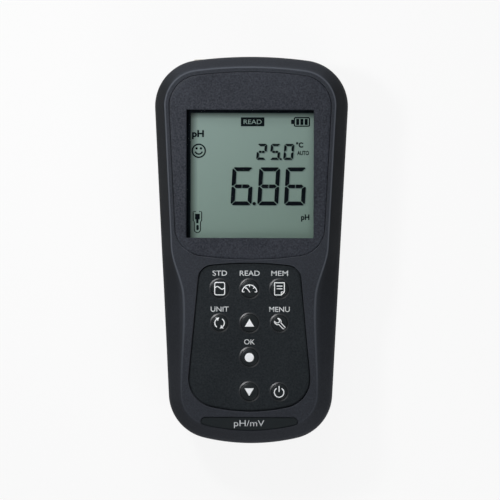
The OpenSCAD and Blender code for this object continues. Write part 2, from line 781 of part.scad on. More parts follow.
// One of the finger grooves across the battery door
module round_groove(y) {
    translate([-8, y, foot_h - 0.3]) rotate([0, 90, 0]) cylinder(r = 0.7, h = 16);
}

module battery_door_gasket() color([0.1, 0.1, 0.1]) {
    difference() {
        round_plate(door_half_w - 0.2, door_low_y + 0.2, door_high_y - 0.2, 3, foot_h + door_t, ledge_z);
        round_plate(tray_half_w + 0.1, tray_low_y - 0.6, tray_low_y + tray_l + 0.6, 2, foot_h, ledge_z + cut);
        for (p = door_screws_at) post(p, 1.6, 0, ledge_z + cut);
    }
}

module battery_door_screws() color(steel) {
    for (p = door_screws_at) screw(p, door_screw_r, door_head_r, foot_h + fit, door_head_h, door_screw_l);
}

// A pan-head screw with a crossed slot, head down
module screw(at, shank_r, head_r, z, head_h, length) {
    difference() {
        union() {
            post(at, head_r, z, z + head_h);
            post(at, shank_r, z + head_h - fit, z + head_h + length);
        }
        for (a = [0, 90]) translate([at.x, at.y, z]) rotate(a)
            block(head_r * 0.6, -0.25, 0.25, -cut, head_h * 0.5);
    }
}

// One cell, with its raised pole at the end that dir names
module cell(x, dir) {
    y0 = tray_low_y + plate_t + (dir > 0 ? spring_l : 0);
    pole_l = 1;
    body_y = dir > 0 ? y0 : y0 + pole_l;
    rod_y(x, cell_z, cell_d / 2, body_y, body_y + cell_l - pole_l);
    rod_y(x, cell_z, 2.7, y0, y0 + cell_l);
}

module battery_1() color([0.1, 0.1, 0.1]) cell(-cell_x, 1);

module battery_2() color([0.1, 0.1, 0.1]) cell(cell_x, -1);

// Centre line of a cone spring, at the share t of its length
function spring_point(t) = let (r = mix(5.2, 2.6, t), a = 360 * 3.5 * t)
    [r * cos(a), r * sin(a), 0.4 + (spring_l - 0.8) * t];

module cone_spring() {
    rings = 42;
    sides = 6;
    wire = 0.4;
    points = [
        for (i = [0 : rings]) let (
            t = i / rings,
            c = spring_point(t),
            a = 360 * 3.5 * t,
            out = [cos(a), sin(a), 0]
        ) for (j = [0 : sides - 1]) let (b = 360 * j / sides) c + wire * (cos(b) * out + sin(b) * [0, 0, 1])
    ];
    polyhedron(points = points, faces = concat(
        [[for (j = [0 : sides - 1]) j]],
        [[for (j = [sides - 1 : -1 : 0]) rings * sides + j]],
        [for (i = [0 : sides : (rings - 1) * sides]) for (j = [0 : sides - 1]) let (k = (j + 1) % sides)
            [i + j, i + sides + j, i + sides + k]],
        [for (i = [0 : sides : (rings - 1) * sides]) for (j = [0 : sides - 1]) let (k = (j + 1) % sides)
            [i + j, i + sides + k, i + k]]
    ));
}

module battery_springs() color(steel) {
    translate([-cell_x, tray_low_y + plate_t, cell_z]) rotate([-90, 0, 0]) cone_spring();
    translate([cell_x, tray_low_y + tray_l - plate_t, cell_z]) rotate([90, 0, 0]) cone_spring();
}

module battery_plates() color(steel) {
    low = tray_low_y;
    high = tray_low_y + tray_l;
    translate([0, 0, cell_z]) {
        block_z(2 * cell_x + 11, 11, low, low + plate_t);
        for (side = [-1, 1]) translate([side * cell_x, 0, 0]) block_z(11, 11, high - plate_t, high);
    }
}

module case_screws() color(steel) {
    for (p = case_screws_at)
        screw(p, case_screw_r, case_head_r, foot_h + screw_sink - case_head_h, case_head_h, case_screw_l);
}

module board_screws() color(steel) {
    for (p = board_screws_at)
        screw(p, board_screw_r, board_head_r, board_z - board_t - board_head_h, board_head_h, board_screw_l);
}

module rubber_feet() color([0.08, 0.08, 0.08]) {
    for (p = feet_at) difference() {
        post(p, foot_r - 0.1, 0, 2 * foot_h);
        post(p, foot_r * 0.55, -cut, 0.3);
    }
}

// A key: a domed button with a rounded edge, a flange under the face and a stem to its switch
module key(n) {
    k = KEYS[n];
    r = k[3] / 2;
    edge = 1;
    tall = key_top_z - flange_z;
    crown = 16;
    translate([key_at(k).x, key_at(k).y, 0]) {
        translate([0, 0, flange_z]) rotate_extrude() intersection() {
            union() {
                square([r - edge, tall]);
                square([r, tall - edge]);
                translate([r - edge, tall - edge]) circle(edge);
                square([r + flange_rim, flange_t]);
            }
            translate([0, tall - crown]) circle(crown, $fn = 128);
            square([crown, 2 * crown]);
        }
        post([0, 0], stem_r, stem_z, flange_z + fit);
    }
}

module key_calibrate() color([0.3, 0.31, 0.34]) key(0);

module key_measure() color([0.3, 0.31, 0.34]) key(1);

module key_data() color([0.3, 0.31, 0.34]) key(2);

module key_mode() color([0.3, 0.31, 0.34]) key(3);

module key_up() color([0.3, 0.31, 0.34]) key(4);

module key_setup() color([0.3, 0.31, 0.34]) key(5);

module key_enter() color([0.3, 0.31, 0.34]) key(6);

module key_down() color([0.3, 0.31, 0.34]) key(7);

module key_power() color([0.3, 0.31, 0.34]) key(8);

front_case();
rear_case();
case_gasket();
display_panel();
display_window();
lcd_cell();
light_guide();
lcd_frame();
contact_strips();
main_board();
tact_switches();
board_chips();
shield_can();
buzzer();
keypad_overlay();
keypad_mat();
label_plate();
electrode_socket();
socket_insulator();
socket_contact();
socket_nut();
probe_socket();
probe_socket_core();
probe_pins();
temperature_jack();
jack_nut();
jack_body();
data_port();
port_bezel();
port_cover();
port_cover_pin();
socket_board();
ribbon_cable();
battery_door();
battery_door_gasket();
battery_door_screws();
battery_1();
battery_2();
battery_springs();
battery_plates();
case_screws();
board_screws();
rubber_feet();
key_calibrate();
key_measure();
key_data();
key_mode();
key_up();
key_setup();
key_enter();
key_down();
key_power();
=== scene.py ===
"""The looks of a handheld pH meter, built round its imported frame. Lengths below are in millimetres."""

import json
import math

import bmesh
import bpy
import numpy as np
from mathutils import Matrix, Vector


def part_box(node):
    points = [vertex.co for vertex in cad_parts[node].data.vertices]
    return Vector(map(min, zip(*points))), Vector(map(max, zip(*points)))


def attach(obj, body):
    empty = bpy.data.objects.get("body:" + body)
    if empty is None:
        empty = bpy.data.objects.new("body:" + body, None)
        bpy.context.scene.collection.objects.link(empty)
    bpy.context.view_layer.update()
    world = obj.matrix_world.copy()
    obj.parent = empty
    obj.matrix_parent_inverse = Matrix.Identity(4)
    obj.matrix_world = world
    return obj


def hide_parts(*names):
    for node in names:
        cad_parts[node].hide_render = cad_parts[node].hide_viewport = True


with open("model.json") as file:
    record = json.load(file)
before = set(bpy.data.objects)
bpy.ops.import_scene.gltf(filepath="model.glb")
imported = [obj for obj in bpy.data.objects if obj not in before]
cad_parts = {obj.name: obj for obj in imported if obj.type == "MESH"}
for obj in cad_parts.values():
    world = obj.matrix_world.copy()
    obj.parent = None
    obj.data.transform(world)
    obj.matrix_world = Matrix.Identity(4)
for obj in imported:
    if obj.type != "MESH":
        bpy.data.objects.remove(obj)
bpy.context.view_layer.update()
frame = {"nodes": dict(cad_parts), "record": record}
MM = 0.001
HOUSING = "housing"


def node_box(name):
    """Lowest and highest corner of a CAD node, in millimetres."""
    low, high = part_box(name)
    return np.array(low) / MM, np.array(high) / MM


# Sizes that the frame gives
front_low, front_high = node_box("front_case")
rear_low, _ = node_box("rear_case")
panel_low, panel_high = node_box("display_panel")
overlay_low, overlay_high = node_box("keypad_overlay")
window_low, window_high = node_box("display_window")
cell_low, cell_high = node_box("lcd_cell")
label_low, label_high = node_box("label_plate")
door_low, door_high = node_box("battery_door")

# Outlines: half width at the middle, lean in degrees, then end, corner and crown radius of head and foot
CASE = (37.0, 2.93, front_high[1], 19.2, 175.0, front_low[1], 19.0, 84.0)
PANEL_GAP, OVERLAY_GAP, LABEL_GAP = 0.15, 0.3, 0.2
PANEL_TOP, PANEL_FOOT = panel_high[1] + PANEL_GAP, panel_low[1] - PANEL_GAP
PANEL = (30.5, 2.93, PANEL_TOP, 13.0, 170.0, PANEL_FOOT, 12.0, 150.0)
KEYPAD_TOP, KEYPAD_FOOT = overlay_high[1] + OVERLAY_GAP, overlay_low[1] - OVERLAY_GAP
KEYPAD = (20.2, -5.4, KEYPAD_TOP, 6.0, 136.0, KEYPAD_FOOT, 12.0, 70.0)
SCREEN_HALF_W = window_high[0] - 1.5
SCREEN_TOP, SCREEN_FOOT = window_high[1] - 1.5, window_low[1] + 1.5
SCREEN_MID = (SCREEN_TOP + SCREEN_FOOT) / 2
SIDE_BULGE = 0.7
RIDGE_IN = 5.4
GRIP_DEPTH, GRIP_START, GRIP_FALL = 4.2, PANEL_FOOT + 5, 21.0
RELAX_DEPTH, RELAX_START, RELAX_FALL = 3.0, PANEL_FOOT - 18, 40.0
RIDGE_Z = front_high[2]
KEYPAD_FLOOR_Z = overlay_low[2]
FACE_UNDER_Z = KEYPAD_FLOOR_Z - 1.7
STEM_END_Z = node_box("key_up")[0][2]
LABEL_FLOOR_Z = label_low[2]
SEAM_Z = front_low[2]
PART_Z = node_box("case_gasket")[0][2]
BAY_Y, BULKHEAD_Y, BAY_HALF_W = 67.5, 65.3, 29.0
SOCKET_Z = 11.5
ELECTRODE_X, PROBE_X, JACK_X, PORT_X = -20.0, -2.6, 10.4, 22.0
WALL = 2.2
CASE_SCREWS = [(31.4, 47.6), (-31.4, 47.6), (26.8, -48.0), (-26.8, -48.0)]
BOARD_SCREWS = [(24.3, 63.0), (-24.3, 63.0), (24.3, -4.0), (-24.3, -4.0), (18.5, -67.6), (-18.5, -67.6)]
DOOR_SCREWS = [(0, -65.95), (0, -2.55)]
FEET = [(27.0, 57.5), (-27.0, 57.5), (23.8, -59.0), (-23.8, -59.0)]

# Steps round an outline: crown, corner and side
FINE = (14, 26, 90)
PLAIN = (6, 10, 24)

# Column, row and radius of each key
KEYS = {
    "calibrate": (-1, 0, 3.65), "measure": (0, 0, 3.65), "data": (1, 0, 3.65),
    "mode": (-1, 1, 3.3), "up": (0, 1, 3.65), "setup": (1, 1, 3.3),
    "enter": (0, 2, 3.65), "down": (0, 3, 3.65), "power": (1, 3, 3.3),
}
KEY_ROW_Y = KEYPAD_TOP - 10.8
KEY_PITCH = (12.3, (KEYPAD_TOP - KEYPAD_FOOT - 19.0) / 3)
KEY_CROWN_R = 16.0
KEY_GAP = 0.3


def key_centre(name):
    """Middle of a key on the face."""
    column, row, _ = KEYS[name]
    return np.array([column * KEY_PITCH[0], KEY_ROW_Y - row * KEY_PITCH[1]])


# Shapes as arrays

def ease(t):
    """Smooth step from 0 to 1."""
    t = np.clip(t, 0, 1)
    return t * t * (3 - 2 * t)


def thumb_grip(y):
    """Extra width of the shoulder at height y: it deepens below the display, then fades out again."""
    deepen = GRIP_DEPTH * ease((GRIP_START - y) / GRIP_FALL)
    return deepen - RELAX_DEPTH * ease((RELAX_START - y) / RELAX_FALL)


def arc(centre, radius, start, end, count, last=False):
    """Points at even angles on a circle, in degrees, and their outward normals; last adds the end itself."""
    a = np.radians(np.linspace(start, end, count + 1)[: None if last else -1])
    normals = np.stack([np.cos(a), np.sin(a)], axis=1)
    return np.asarray(centre) + radius * normals, normals


def corner_centre(plan, head):
    """Centre of the circle that touches the leaning side and, from inside, the crown circle of that end."""
    half_w, lean = plan[:2]
    end, radius, crown = plan[2:5] if head else plan[5:8]
    slope = math.tan(math.radians(lean))
    crown_y = end - crown if head else end + crown
    start = half_w - radius * math.hypot(1, slope)
    a = 1 + slope**2
    b = 2 * (start * slope - crown_y)
    c = start**2 + crown_y**2 - (crown - radius) ** 2
    y = (-b + (1 if head else -1) * math.sqrt(b * b - 4 * a * c)) / (2 * a)
    return np.array([start + slope * y, y]), np.array([0, crown_y])


def outline(plan, steps=FINE):
    """Closed outline from the middle of the foot: crown, corner, side, corner and crown, then mirrored."""
    low, low_crown = corner_centre(plan, False)
    high, high_crown = corner_centre(plan, True)
    crown_n, corner_n, side_n = steps
    low_angle = math.degrees(math.atan2(*(low - low_crown)[::-1]))
    high_angle = math.degrees(math.atan2(*(high - high_crown)[::-1]))
    _, side_normal = arc((0, 0), 1, -plan[1], -plan[1], 1)
    t = np.linspace(0, 1, side_n + 1)[:-1, None]
    side = (low + plan[6] * side_normal) * (1 - t) + (high + plan[3] * side_normal) * t
    parts = [
        arc(low_crown, plan[7], -90, low_angle, crown_n),
        arc(low, plan[6], low_angle, -plan[1], corner_n),
        (side, np.repeat(side_normal, side_n, axis=0)),
        arc(high, plan[3], -plan[1], high_angle, corner_n),
        arc(high_crown, plan[4], high_angle, 90, crown_n, last=True),
    ]
    points = np.concatenate([p for p, _ in parts])
    normals = np.concatenate([n for _, n in parts])
    flip = np.array([-1, 1])
    other, other_normals = (values[-2:0:-1] * flip for values in (points, normals))
    return np.concatenate([points, other]), np.concatenate([normals, other_normals])


def round_rect(half_w, low_y, high_y, radius, count=8, x=0.0):
    """Outline of a rectangle with round corners, with its normals."""
    left, right = x - half_w + radius, x + half_w - radius
    low, high = low_y + radius, high_y - radius
    corners = [((right, low), -90), ((right, high), 0), ((left, high), 90), ((left, low), 180)]
    parts = [arc(centre, radius, start, start + 90, count, last=True) for centre, start in corners]
    return np.concatenate([p for p, _ in parts]), np.concatenate([n for _, n in parts])


def rounded(corners, cutbacks, count=8):
    """A line through corners, each inner one a quadratic Bezier that starts and ends one cutback away."""
    corners = np.asarray(corners, float)
    t = np.linspace(0, 1, count)[:, None]
    parts = [corners[:1]]
    for before, corner, after, back in zip(corners[:-2], corners[1:-1], corners[2:], cutbacks):
        start = corner + (before - corner) * back / np.linalg.norm((before - corner)[:2])
        end = corner + (after - corner) * back / np.linalg.norm((after - corner)[:2])
        parts.append((1 - t) ** 2 * start + 2 * t * (1 - t) * corner + t**2 * end)
    return np.concatenate([*parts, corners[-1:]])


def rings(shape, profile):
    """An outline at each row of a profile (inset, z, share of grip), drawn in along its own normals."""
    points, normals = shape
    profile = np.asarray(profile, float)
    if profile.shape[1] == 2:
        profile = np.pad(profile, ((0, 0), (0, 1)))
    inset = profile[:, :1] + profile[:, 2:] * thumb_grip(points[:, 1])
    flat = points - inset[..., None] * normals
    z = np.broadcast_to(profile[:, 1, None, None], (*inset.shape, 1))
    return np.concatenate([flat, z], axis=2)


def turned(profile, centre=(0, 0), count=96):
    """Rings of a turned form: each (radius, z) of the profile on a circle round a vertical axis."""
    profile = np.asarray(profile, float)
    _, circle = arc((0, 0), 1, 0, 360, count)
    flat = np.asarray(centre) + profile[:, :1, None] * circle
    z = np.broadcast_to(profile[:, 1, None, None], (len(profile), count, 1))
    return np.concatenate([flat, z], axis=2)


def laid_along_y(points, axis_x, axis_z):
    """Turns a form that stands on Z so that it lies along Y, round the axis at that X and Z."""
    x, y, z = np.moveaxis(points, -1, 0)
    return np.stack([axis_x + x, z, axis_z - y], axis=-1)


def skin(grid, looped=False):
    """Vertices and faces of the skin through a stack of rings, with a flat cap at each end or as a loop."""
    rows, count, _ = grid.shape
    i = np.arange(count)
    j = (i + 1) % count
    base = np.arange(rows if looped else rows - 1)[:, None] * count
    above = (base + count) % (rows * count)
    quads = np.stack([base + i, base + j, above + j, above + i], axis=2).reshape(-1, 4).tolist()
    if not looped:
        quads += [i[::-1].tolist(), (i + (rows - 1) * count).tolist()]
    return grid.reshape(-1, 3), quads


def joined(parts):
    """Several skins as one list of vertices and faces."""
    parts = list(parts)
    starts = np.cumsum([0] + [len(vertices) for vertices, _ in parts[:-1]])
    faces = [
        [v + int(start) for v in face] for start, (_, part_faces) in zip(starts, parts) for face in part_faces
    ]
    return np.concatenate([vertices for vertices, _ in parts]), faces


def layers(*rows):
    """Rings through flat outlines that have as many points, each given with its height."""
    return np.stack([np.column_stack([flat, np.full(len(flat), float(z))]) for flat, z in rows])


def prism(flat, low_z, high_z):
    """Rings of a straight prism over a flat outline."""
    return layers((flat, low_z), (flat, high_z))


def slab(half_w, low_y, high_y, low_z, high_z, x=0.0):
    """Rings of a plain block."""
    left, right = x - half_w, x + half_w
    return prism([(left, low_y), (right, low_y), (right, high_y), (left, high_y)], low_z, high_z)


def plate(half_w, low_y, high_y, radius, rows):
    """Rings of a plate with round corners, drawn in by the inset of each row (inset, z)."""
    return layers(*((round_rect(half_w - i, low_y + i, high_y - i, radius - i)[0], z) for i, z in rows))


def tube(centre, rows, count=48):
    """A turned ring: its section (radius, z) is a closed loop, so it has a bore."""
    return skin(turned(rows, centre, count), looped=True)


def band(path, width, height, looped=False, sink=0.05):
    """A printed line of even width along a flat path, laid on a surface given by its height at x, y."""
    path = np.asarray(path, float)
    if looped:
        along = np.roll(path, -1, axis=0) - np.roll(path, 1, axis=0)
    else:
        along = np.gradient(path, axis=0)
    along /= np.linalg.norm(along, axis=1, keepdims=True)
    left = np.stack([-along[:, 1], along[:, 0]], axis=1) * width / 2
    sides = np.stack([path + left, path + left, path - left, path - left], axis=1)
    z = height(sides[..., 0], sides[..., 1]) + np.array([-sink, 0, 0, -sink])
    return skin(np.concatenate([sides, z[..., None]], axis=2), looped)


def patch(flat, height, sink=0.05):
    """A printed area: an outline filled by its own copies that shrink to its middle, laid on the surface."""
    flat = np.asarray(flat, float)
    middle = flat.mean(axis=0)
    shares = np.array([1, 1, 0.75, 0.5, 0.25, 0.05])[:, None, None]
    spread = middle + (flat - middle) * shares
    z = height(spread[..., 0], spread[..., 1])
    z[0] -= sink
    return skin(np.concatenate([spread, z[..., None]], axis=2))


def polyline(points, steps=6):
    """Straight lines through points, with even steps on each."""
    points = np.asarray(points, float)
    t = np.arange(steps)[:, None] / steps
    runs = [a + (b - a) * t for a, b in zip(points[:-1], points[1:])]
    return np.concatenate([*runs, points[-1:]])


# Pieces

def new_piece(name, vertices, faces, material=None):
    """A mesh object at the origin, with its place in its mesh."""
    mesh = bpy.data.meshes.new(name)
    mesh.from_pydata((np.asarray(vertices) * MM).tolist(), [], faces)
    piece = bpy.data.objects.new(name, mesh)
    bpy.context.scene.collection.objects.link(piece)
    if material:
        mesh.materials.append(material)
    return piece


def shade(piece, angle=32):
    """Smooth shading, with an edge wherever two faces meet at more than the angle."""
    piece.data.shade_smooth()
    piece.data.set_sharp_from_angle(angle=math.radians(angle))


def carve(piece, grids):
    """Cuts closed skins, given by their rings, out of a piece, all with one exact boolean."""
    cutters = [new_piece("cutter", *skin(grid)) for grid in grids]
    group = bpy.data.collections.new("cutters")
    bpy.context.scene.collection.children.link(group)
    for cutter in cutters:
        group.objects.link(cutter)
    cut = piece.modifiers.new("cut", "BOOLEAN")
    cut.operation, cut.solver = "DIFFERENCE", "EXACT"
    cut.operand_type, cut.collection = "COLLECTION", group
    done = piece.evaluated_get(bpy.context.evaluated_depsgraph_get())
    mesh = bpy.data.meshes.new_from_object(done)
    piece.modifiers.clear()
    piece.data = mesh
    for cutter in cutters:
        bpy.data.objects.remove(cutter)
    bpy.data.collections.remove(group)


def settle(piece, body, slot, *nodes):
    """Rides a piece on its body and hides the CAD nodes that it stands for; its slot is not used."""
    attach(piece, body)
    if nodes:
        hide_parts(*nodes)


def solid(name, form, look, *nodes, cutters=(), body=HOUSING, slot=None):
    """A shaded piece from a skin, less its cutters, on its body."""
    piece = new_piece(name, *form, LOOKS[look])
    if cutters:
        carve(piece, cutters)
    shade(piece)
    settle(piece, body, slot or look, *nodes)


def printed(name, parts, look, slot, body=HOUSING):
    """Flat marks as one piece, on the body of what they are printed on."""
    settle(new_piece(name, *joined(parts), LOOKS[look]), body, slot)


def recess_profile(floor_z, face_z, chamfer=0.16):
    """Rows of a recess cutter: a small fillet at the floor, a wall, and a chamfer at the face."""
    wall = [(chamfer, floor_z), (0, floor_z + chamfer), (0, face_z - chamfer)]
    return [*wall, (-chamfer, face_z), (-chamfer, face_z + 2)]


# Materials

def linear(*rgb):
    """A colour given in 0 to 255 on screen, as a linear colour with alpha."""
    share = np.array(rgb) / 255
    return (*np.where(share <= 0.04045, share / 12.92, ((share + 0.055) / 1.055) ** 2.4), 1.0)


def dimmed(colour, share):
    return tuple(share * c for c in colour[:3]) + (1.0,)


def feed(tree, node, **inputs):
    """Fills a node's inputs, each with a plain value or another node's socket; _ in a name is a space."""
    for name, value in inputs.items():
        socket = node.inputs[int(name[1:])] if name[1:].isdigit() else node.inputs[name.replace("_", " ")]
        if isinstance(value, bpy.types.NodeSocket):
            tree.links.new(value, socket)
        else:
            socket.default_value = value
    return node


def place(tree, kind, **inputs):
    """Adds a node and fills its inputs."""
    return feed(tree, tree.nodes.new(kind), **inputs)


def arithmetic(tree, operation, a, b):
    node = place(tree, "ShaderNodeMath", _0=a, _1=b)
    node.operation = operation
    return node.outputs[0]


def product(tree, value, *others):
    """A value multiplied by each of the others."""
    for other in others:
        value = arithmetic(tree, "MULTIPLY", value, other)
    return value


def remap(tree, value, low=0.0, high=1.0, start=0.0, end=1.0):
    """A value's share of the way from low to high, laid on the range from start to end."""
    ends = {"From_Min": low, "From_Max": high, "To_Min": start, "To_Max": end}
    return place(tree, "ShaderNodeMapRange", Value=value, **ends).outputs["Result"]


def blend(tree, share, first, second, mode="MIX"):
    """Two colours mixed by a share."""
    node = tree.nodes.new("ShaderNodeMix")
    node.data_type, node.blend_type = "RGBA", mode
    return feed(tree, node, Factor=share, _6=first, _7=second).outputs[2]


def group_with(name, *outputs):
    """An empty node group, with its outputs."""
    tree = bpy.data.node_groups.new(name, "ShaderNodeTree")
    for output in outputs:
        tree.interface.new_socket(output, in_out="OUTPUT", socket_type="NodeSocketFloat")
    return tree


def grain_group():
    """Grain of a mould: noise and cells make the height, and slow patches join it in the tone."""
    tree = group_with("mould_grain", "Height", "Patches", "Tone")
    for name, default in (("Grain", 3000.0), ("Patch", 60.0)):
        tree.interface.new_socket(name, in_out="INPUT", socket_type="NodeSocketFloat").default_value = default
    scale = tree.nodes.new("NodeGroupInput").outputs
    where = tree.nodes.new("ShaderNodeTexCoord").outputs["Object"]
    pits = place(tree, "ShaderNodeTexNoise", Vector=where, Scale=scale["Grain"], Detail=3.0)
    cells = place(tree, "ShaderNodeTexVoronoi", Vector=where, Scale=scale["Grain"])
    cells.feature = "SMOOTH_F1"
    slow = place(tree, "ShaderNodeTexNoise", Vector=where, Scale=scale["Patch"], Detail=4.0).outputs["Fac"]
    height = arithmetic(tree, "ADD", pits.outputs["Fac"], product(tree, cells.outputs["Distance"], 0.6))
    both = arithmetic(tree, "ADD", product(tree, height, 0.75), product(tree, slow, 0.35))
    place(tree, "NodeGroupOutput", Height=height, Patches=slow, Tone=remap(tree, both, 0.5, 0.95))
    return tree


def painted_light_group():
    """Painted light on the case: a painted highlight on the rolled edge of its face and painted shade on its
    steep sides, both more so by the head.
    """
    tree = group_with("case_wear", "Pale", "Dark")
    normal = tree.nodes.new("ShaderNodeNewGeometry").outputs["Normal"]
    lean = place(tree, "ShaderNodeSeparateXYZ", Vector=normal).outputs
    spot = tree.nodes.new("ShaderNodeTexCoord").outputs["Object"]
    where = place(tree, "ShaderNodeSeparateXYZ", Vector=spot).outputs
    leaning, not_flat = remap(tree, lean["Z"], 0.35, 0.8), remap(tree, lean["Z"], 1.0, 0.97)
    high = remap(tree, where["Z"], (RIDGE_Z - 3) * MM, (RIDGE_Z - 1) * MM)
    pale = product(tree, leaning, not_flat, high, remap(tree, where["Y"], -60 * MM, -5 * MM, 0.25))
    sideways = remap(tree, arithmetic(tree, "ABSOLUTE", lean["X"], 0.0), 0.5, 0.85)
    dark = product(tree, sideways, remap(tree, where["Y"], -50 * MM, 10 * MM, 0.35))
    place(tree, "NodeGroupOutput", Pale=pale, Dark=dark)
    return tree


GRAIN = grain_group()
PAINTED_LIGHT = painted_light_group()


def finish(name, **values):
    """A new material with its node tree and its Principled shader, which gets these values."""
    material = bpy.data.materials.new(name)
    material.use_nodes = True
    tree = material.node_tree
    return material, tree, feed(tree, tree.nodes["Principled BSDF"], **values)


def add_grain(tree, shader, grain, patches, depth, strength=1.0):
    """Puts the grain in a shader's normal, and returns the group's outputs."""
    effect = place(tree, "ShaderNodeGroup")
    effect.node_tree = GRAIN
    feed(tree, effect, Grain=grain, Patch=patches)
    bump = place(tree, "ShaderNodeBump", Height=effect.outputs["Height"], Strength=strength)
    feed(tree, bump, Distance=depth * MM)
    feed(tree, shader, Normal=bump.outputs["Normal"])
    return effect.outputs


def grained(name, dark, light, grain, depth, rough, specular=0.2, patches=60.0):
    """Moulded plastic or rubber: grain in the surface, and slow patches in its colour and roughness."""
    material, tree, shader = finish(name, Specular_IOR_Level=specular)
    effect = add_grain(tree, shader, grain, patches, depth)
    dull = remap(tree, effect["Patches"], start=rough - 0.06, end=rough + 0.06)
    feed(tree, shader, Base_Color=blend(tree, effect["Tone"], dark, light), Roughness=dull)
    return material


def plated(name, tint, rough):
    """Plated or turned metal with fine tool marks and slightly uneven tarnish."""
    material, tree, shader = finish(name, Metallic=1.0)
    effect = add_grain(tree, shader, 9000.0, 400.0, 0.004, 0.6)
    dull = remap(tree, effect["Patches"], start=rough - 0.05, end=rough + 0.1)
    feed(tree, shader, Base_Color=blend(tree, effect["Patches"], tint, dimmed(tint, 0.8)), Roughness=dull)
    return material


def add_painted_light(material, pale, dark):
    """Gives a finish a painted highlight, a paler tone, on rolled edges and painted shade, a darker tone, on
    steep sides.
    """
    tree = material.node_tree
    shader = tree.nodes["Principled BSDF"]
    wear = place(tree, "ShaderNodeGroup")
    wear.node_tree = PAINTED_LIGHT
    tone = shader.inputs["Base Color"].links[0].from_socket
    for mask, colour in (("Pale", pale), ("Dark", dark)):
        tone = blend(tree, wear.outputs[mask], tone, colour)
    feed(tree, shader, Base_Color=tone)


def ink(name, colour, rough=0.45):
    """Screen-printed ink, with a slightly uneven film."""
    return grained(name, colour, dimmed(colour, 0.9), 6000.0, 0.003, rough, patches=900.0)


def liquid_crystal(name):
    """Reflective display: grey-green, with painted light that makes it paler at the upper left, and painted
    shadow along the left and top edges where its deep frame shades it.
    """
    material, tree, shader = finish(name, Roughness=0.5, Specular_IOR_Level=0.05)
    where = tree.nodes.new("ShaderNodeTexCoord").outputs["Object"]
    axes = place(tree, "ShaderNodeSeparateXYZ", Vector=where).outputs
    # Painted light: the colour runs paler towards the upper left.
    slope = arithmetic(tree, "SUBTRACT", product(tree, axes["X"], 0.5), axes["Y"])
    colour = blend(tree, remap(tree, slope, -0.075, 0.02), linear(133, 153, 147), linear(109, 130, 120))
    speck = place(tree, "ShaderNodeTexNoise", Vector=where, Scale=5000.0, Detail=2.0)
    tone = remap(tree, speck.outputs["Fac"], start=0.95, end=1.05)
    # Painted shadow along the left and top edges of the screen.
    left, top, dim = -SCREEN_HALF_W * MM, SCREEN_TOP * MM, 0.14
    beside = remap(tree, axes["X"], left + 1.4 * MM, left + 4.7 * MM, dim)
    below = remap(tree, axes["Y"], top - 1.1 * MM, top - 3.7 * MM, dim)
    tone = product(tree, tone, beside, below)
    feed(tree, shader, Base_Color=blend(tree, 1.0, colour, tone, "MULTIPLY"))
    return material


# Moulded finishes: dark and light tone on screen, grain per metre, its depth in mm, roughness, specular level
MOULDED = {
    "case": ("case_plastic", (43, 45, 50), (53, 56, 62), 1800.0, 0.05, 0.55, 0.015),
    "panel": ("panel_plastic", (30, 32, 38), (54, 57, 64), 1500.0, 0.12, 0.5, 0.04),
    "overlay": ("overlay_plastic", (25, 29, 32), (38, 42, 45), 1500.0, 0.1, 0.5, 0.03),
    "keys": ("key_plastic", (25, 29, 31), (32, 36, 38), 4000.0, 0.006, 0.24, 0.07),
    "collar": ("collar_plastic", (25, 28, 31), (32, 35, 38), 4000.0, 0.006, 0.3, 0.16),
    "label": ("label_film", (30, 34, 36), (35, 39, 41), 5000.0, 0.005, 0.45, 0.03),
    "seal": ("seal_rubber", (16, 16, 17), (22, 22, 23), 2500.0, 0.01, 0.7, 0.02),
    "grey_rubber": ("mat_rubber", (70, 70, 74), (80, 80, 84), 2500.0, 0.01, 0.7, 0.2),
    "black_plastic": ("black_plastic", (24, 24, 26), (32, 32, 34), 3500.0, 0.01, 0.4, 0.2),
    "white_plastic": ("white_plastic", (225, 225, 220), (238, 238, 234), 3500.0, 0.006, 0.4, 0.2),
    "board": ("solder_mask", (18, 84, 48), (24, 98, 56), 1500.0, 0.01, 0.35, 0.2),
    "cable": ("cable_jacket", (168, 168, 172), (188, 188, 190), 1800.0, 0.02, 0.4, 0.2),
    "cell": ("cell_sleeve", (34, 36, 42), (44, 46, 52), 1500.0, 0.004, 0.3, 0.2),
    "window": ("window_clear", (20, 24, 24), (26, 30, 30), 2000.0, 0.0005, 0.2, 0.04),
    "segment": ("lcd_segment", (5, 10, 14), (9, 14, 19), 5000.0, 0.001, 0.5, 0.01),
    "segment_shade": ("lcd_shade", (104, 121, 116), (99, 116, 111), 5000.0, 0.001, 0.5, 0.01),
}


def looks():
    """Every finish of the meter, by the name of its material slot or of its use."""
    finishes = {
        use: grained(name, linear(*dark), linear(*light), *rest)
        for use, (name, dark, light, *rest) in MOULDED.items()
    }
    # The case gets a painted highlight along its ridge and painted shade on its steep sides.
    add_painted_light(finishes["case"], linear(79, 83, 90), linear(33, 35, 38))
    clear = finishes["window"].node_tree
    feed(clear, clear.nodes["Principled BSDF"], Alpha=0.04)
    return finishes | {
        "lcd": liquid_crystal("lcd_field"),
        "nickel": plated("nickel_plate", linear(214, 210, 200), 0.24),
        "gold": plated("gold_plate", linear(232, 190, 96), 0.22),
        "tin": plated("tin_plate", linear(196, 196, 198), 0.35),
        "steel": plated("zinc_plate", linear(176, 178, 184), 0.32),
        "ink": ink("print_white", linear(236, 238, 240)),
        "legend": ink("print_grey", linear(200, 204, 206)),
        "label_ink": ink("label_grey", linear(196, 200, 204)),
    }


LOOKS = looks()


def dress_frame():
    """Gives each CAD node the finish of its material slot."""
    for part in frame["record"]["subparts"]:
        mesh = frame["nodes"][part["node"]].data
        mesh.materials.clear()
        mesh.materials.append(LOOKS[part["material_slot"]])


# Case

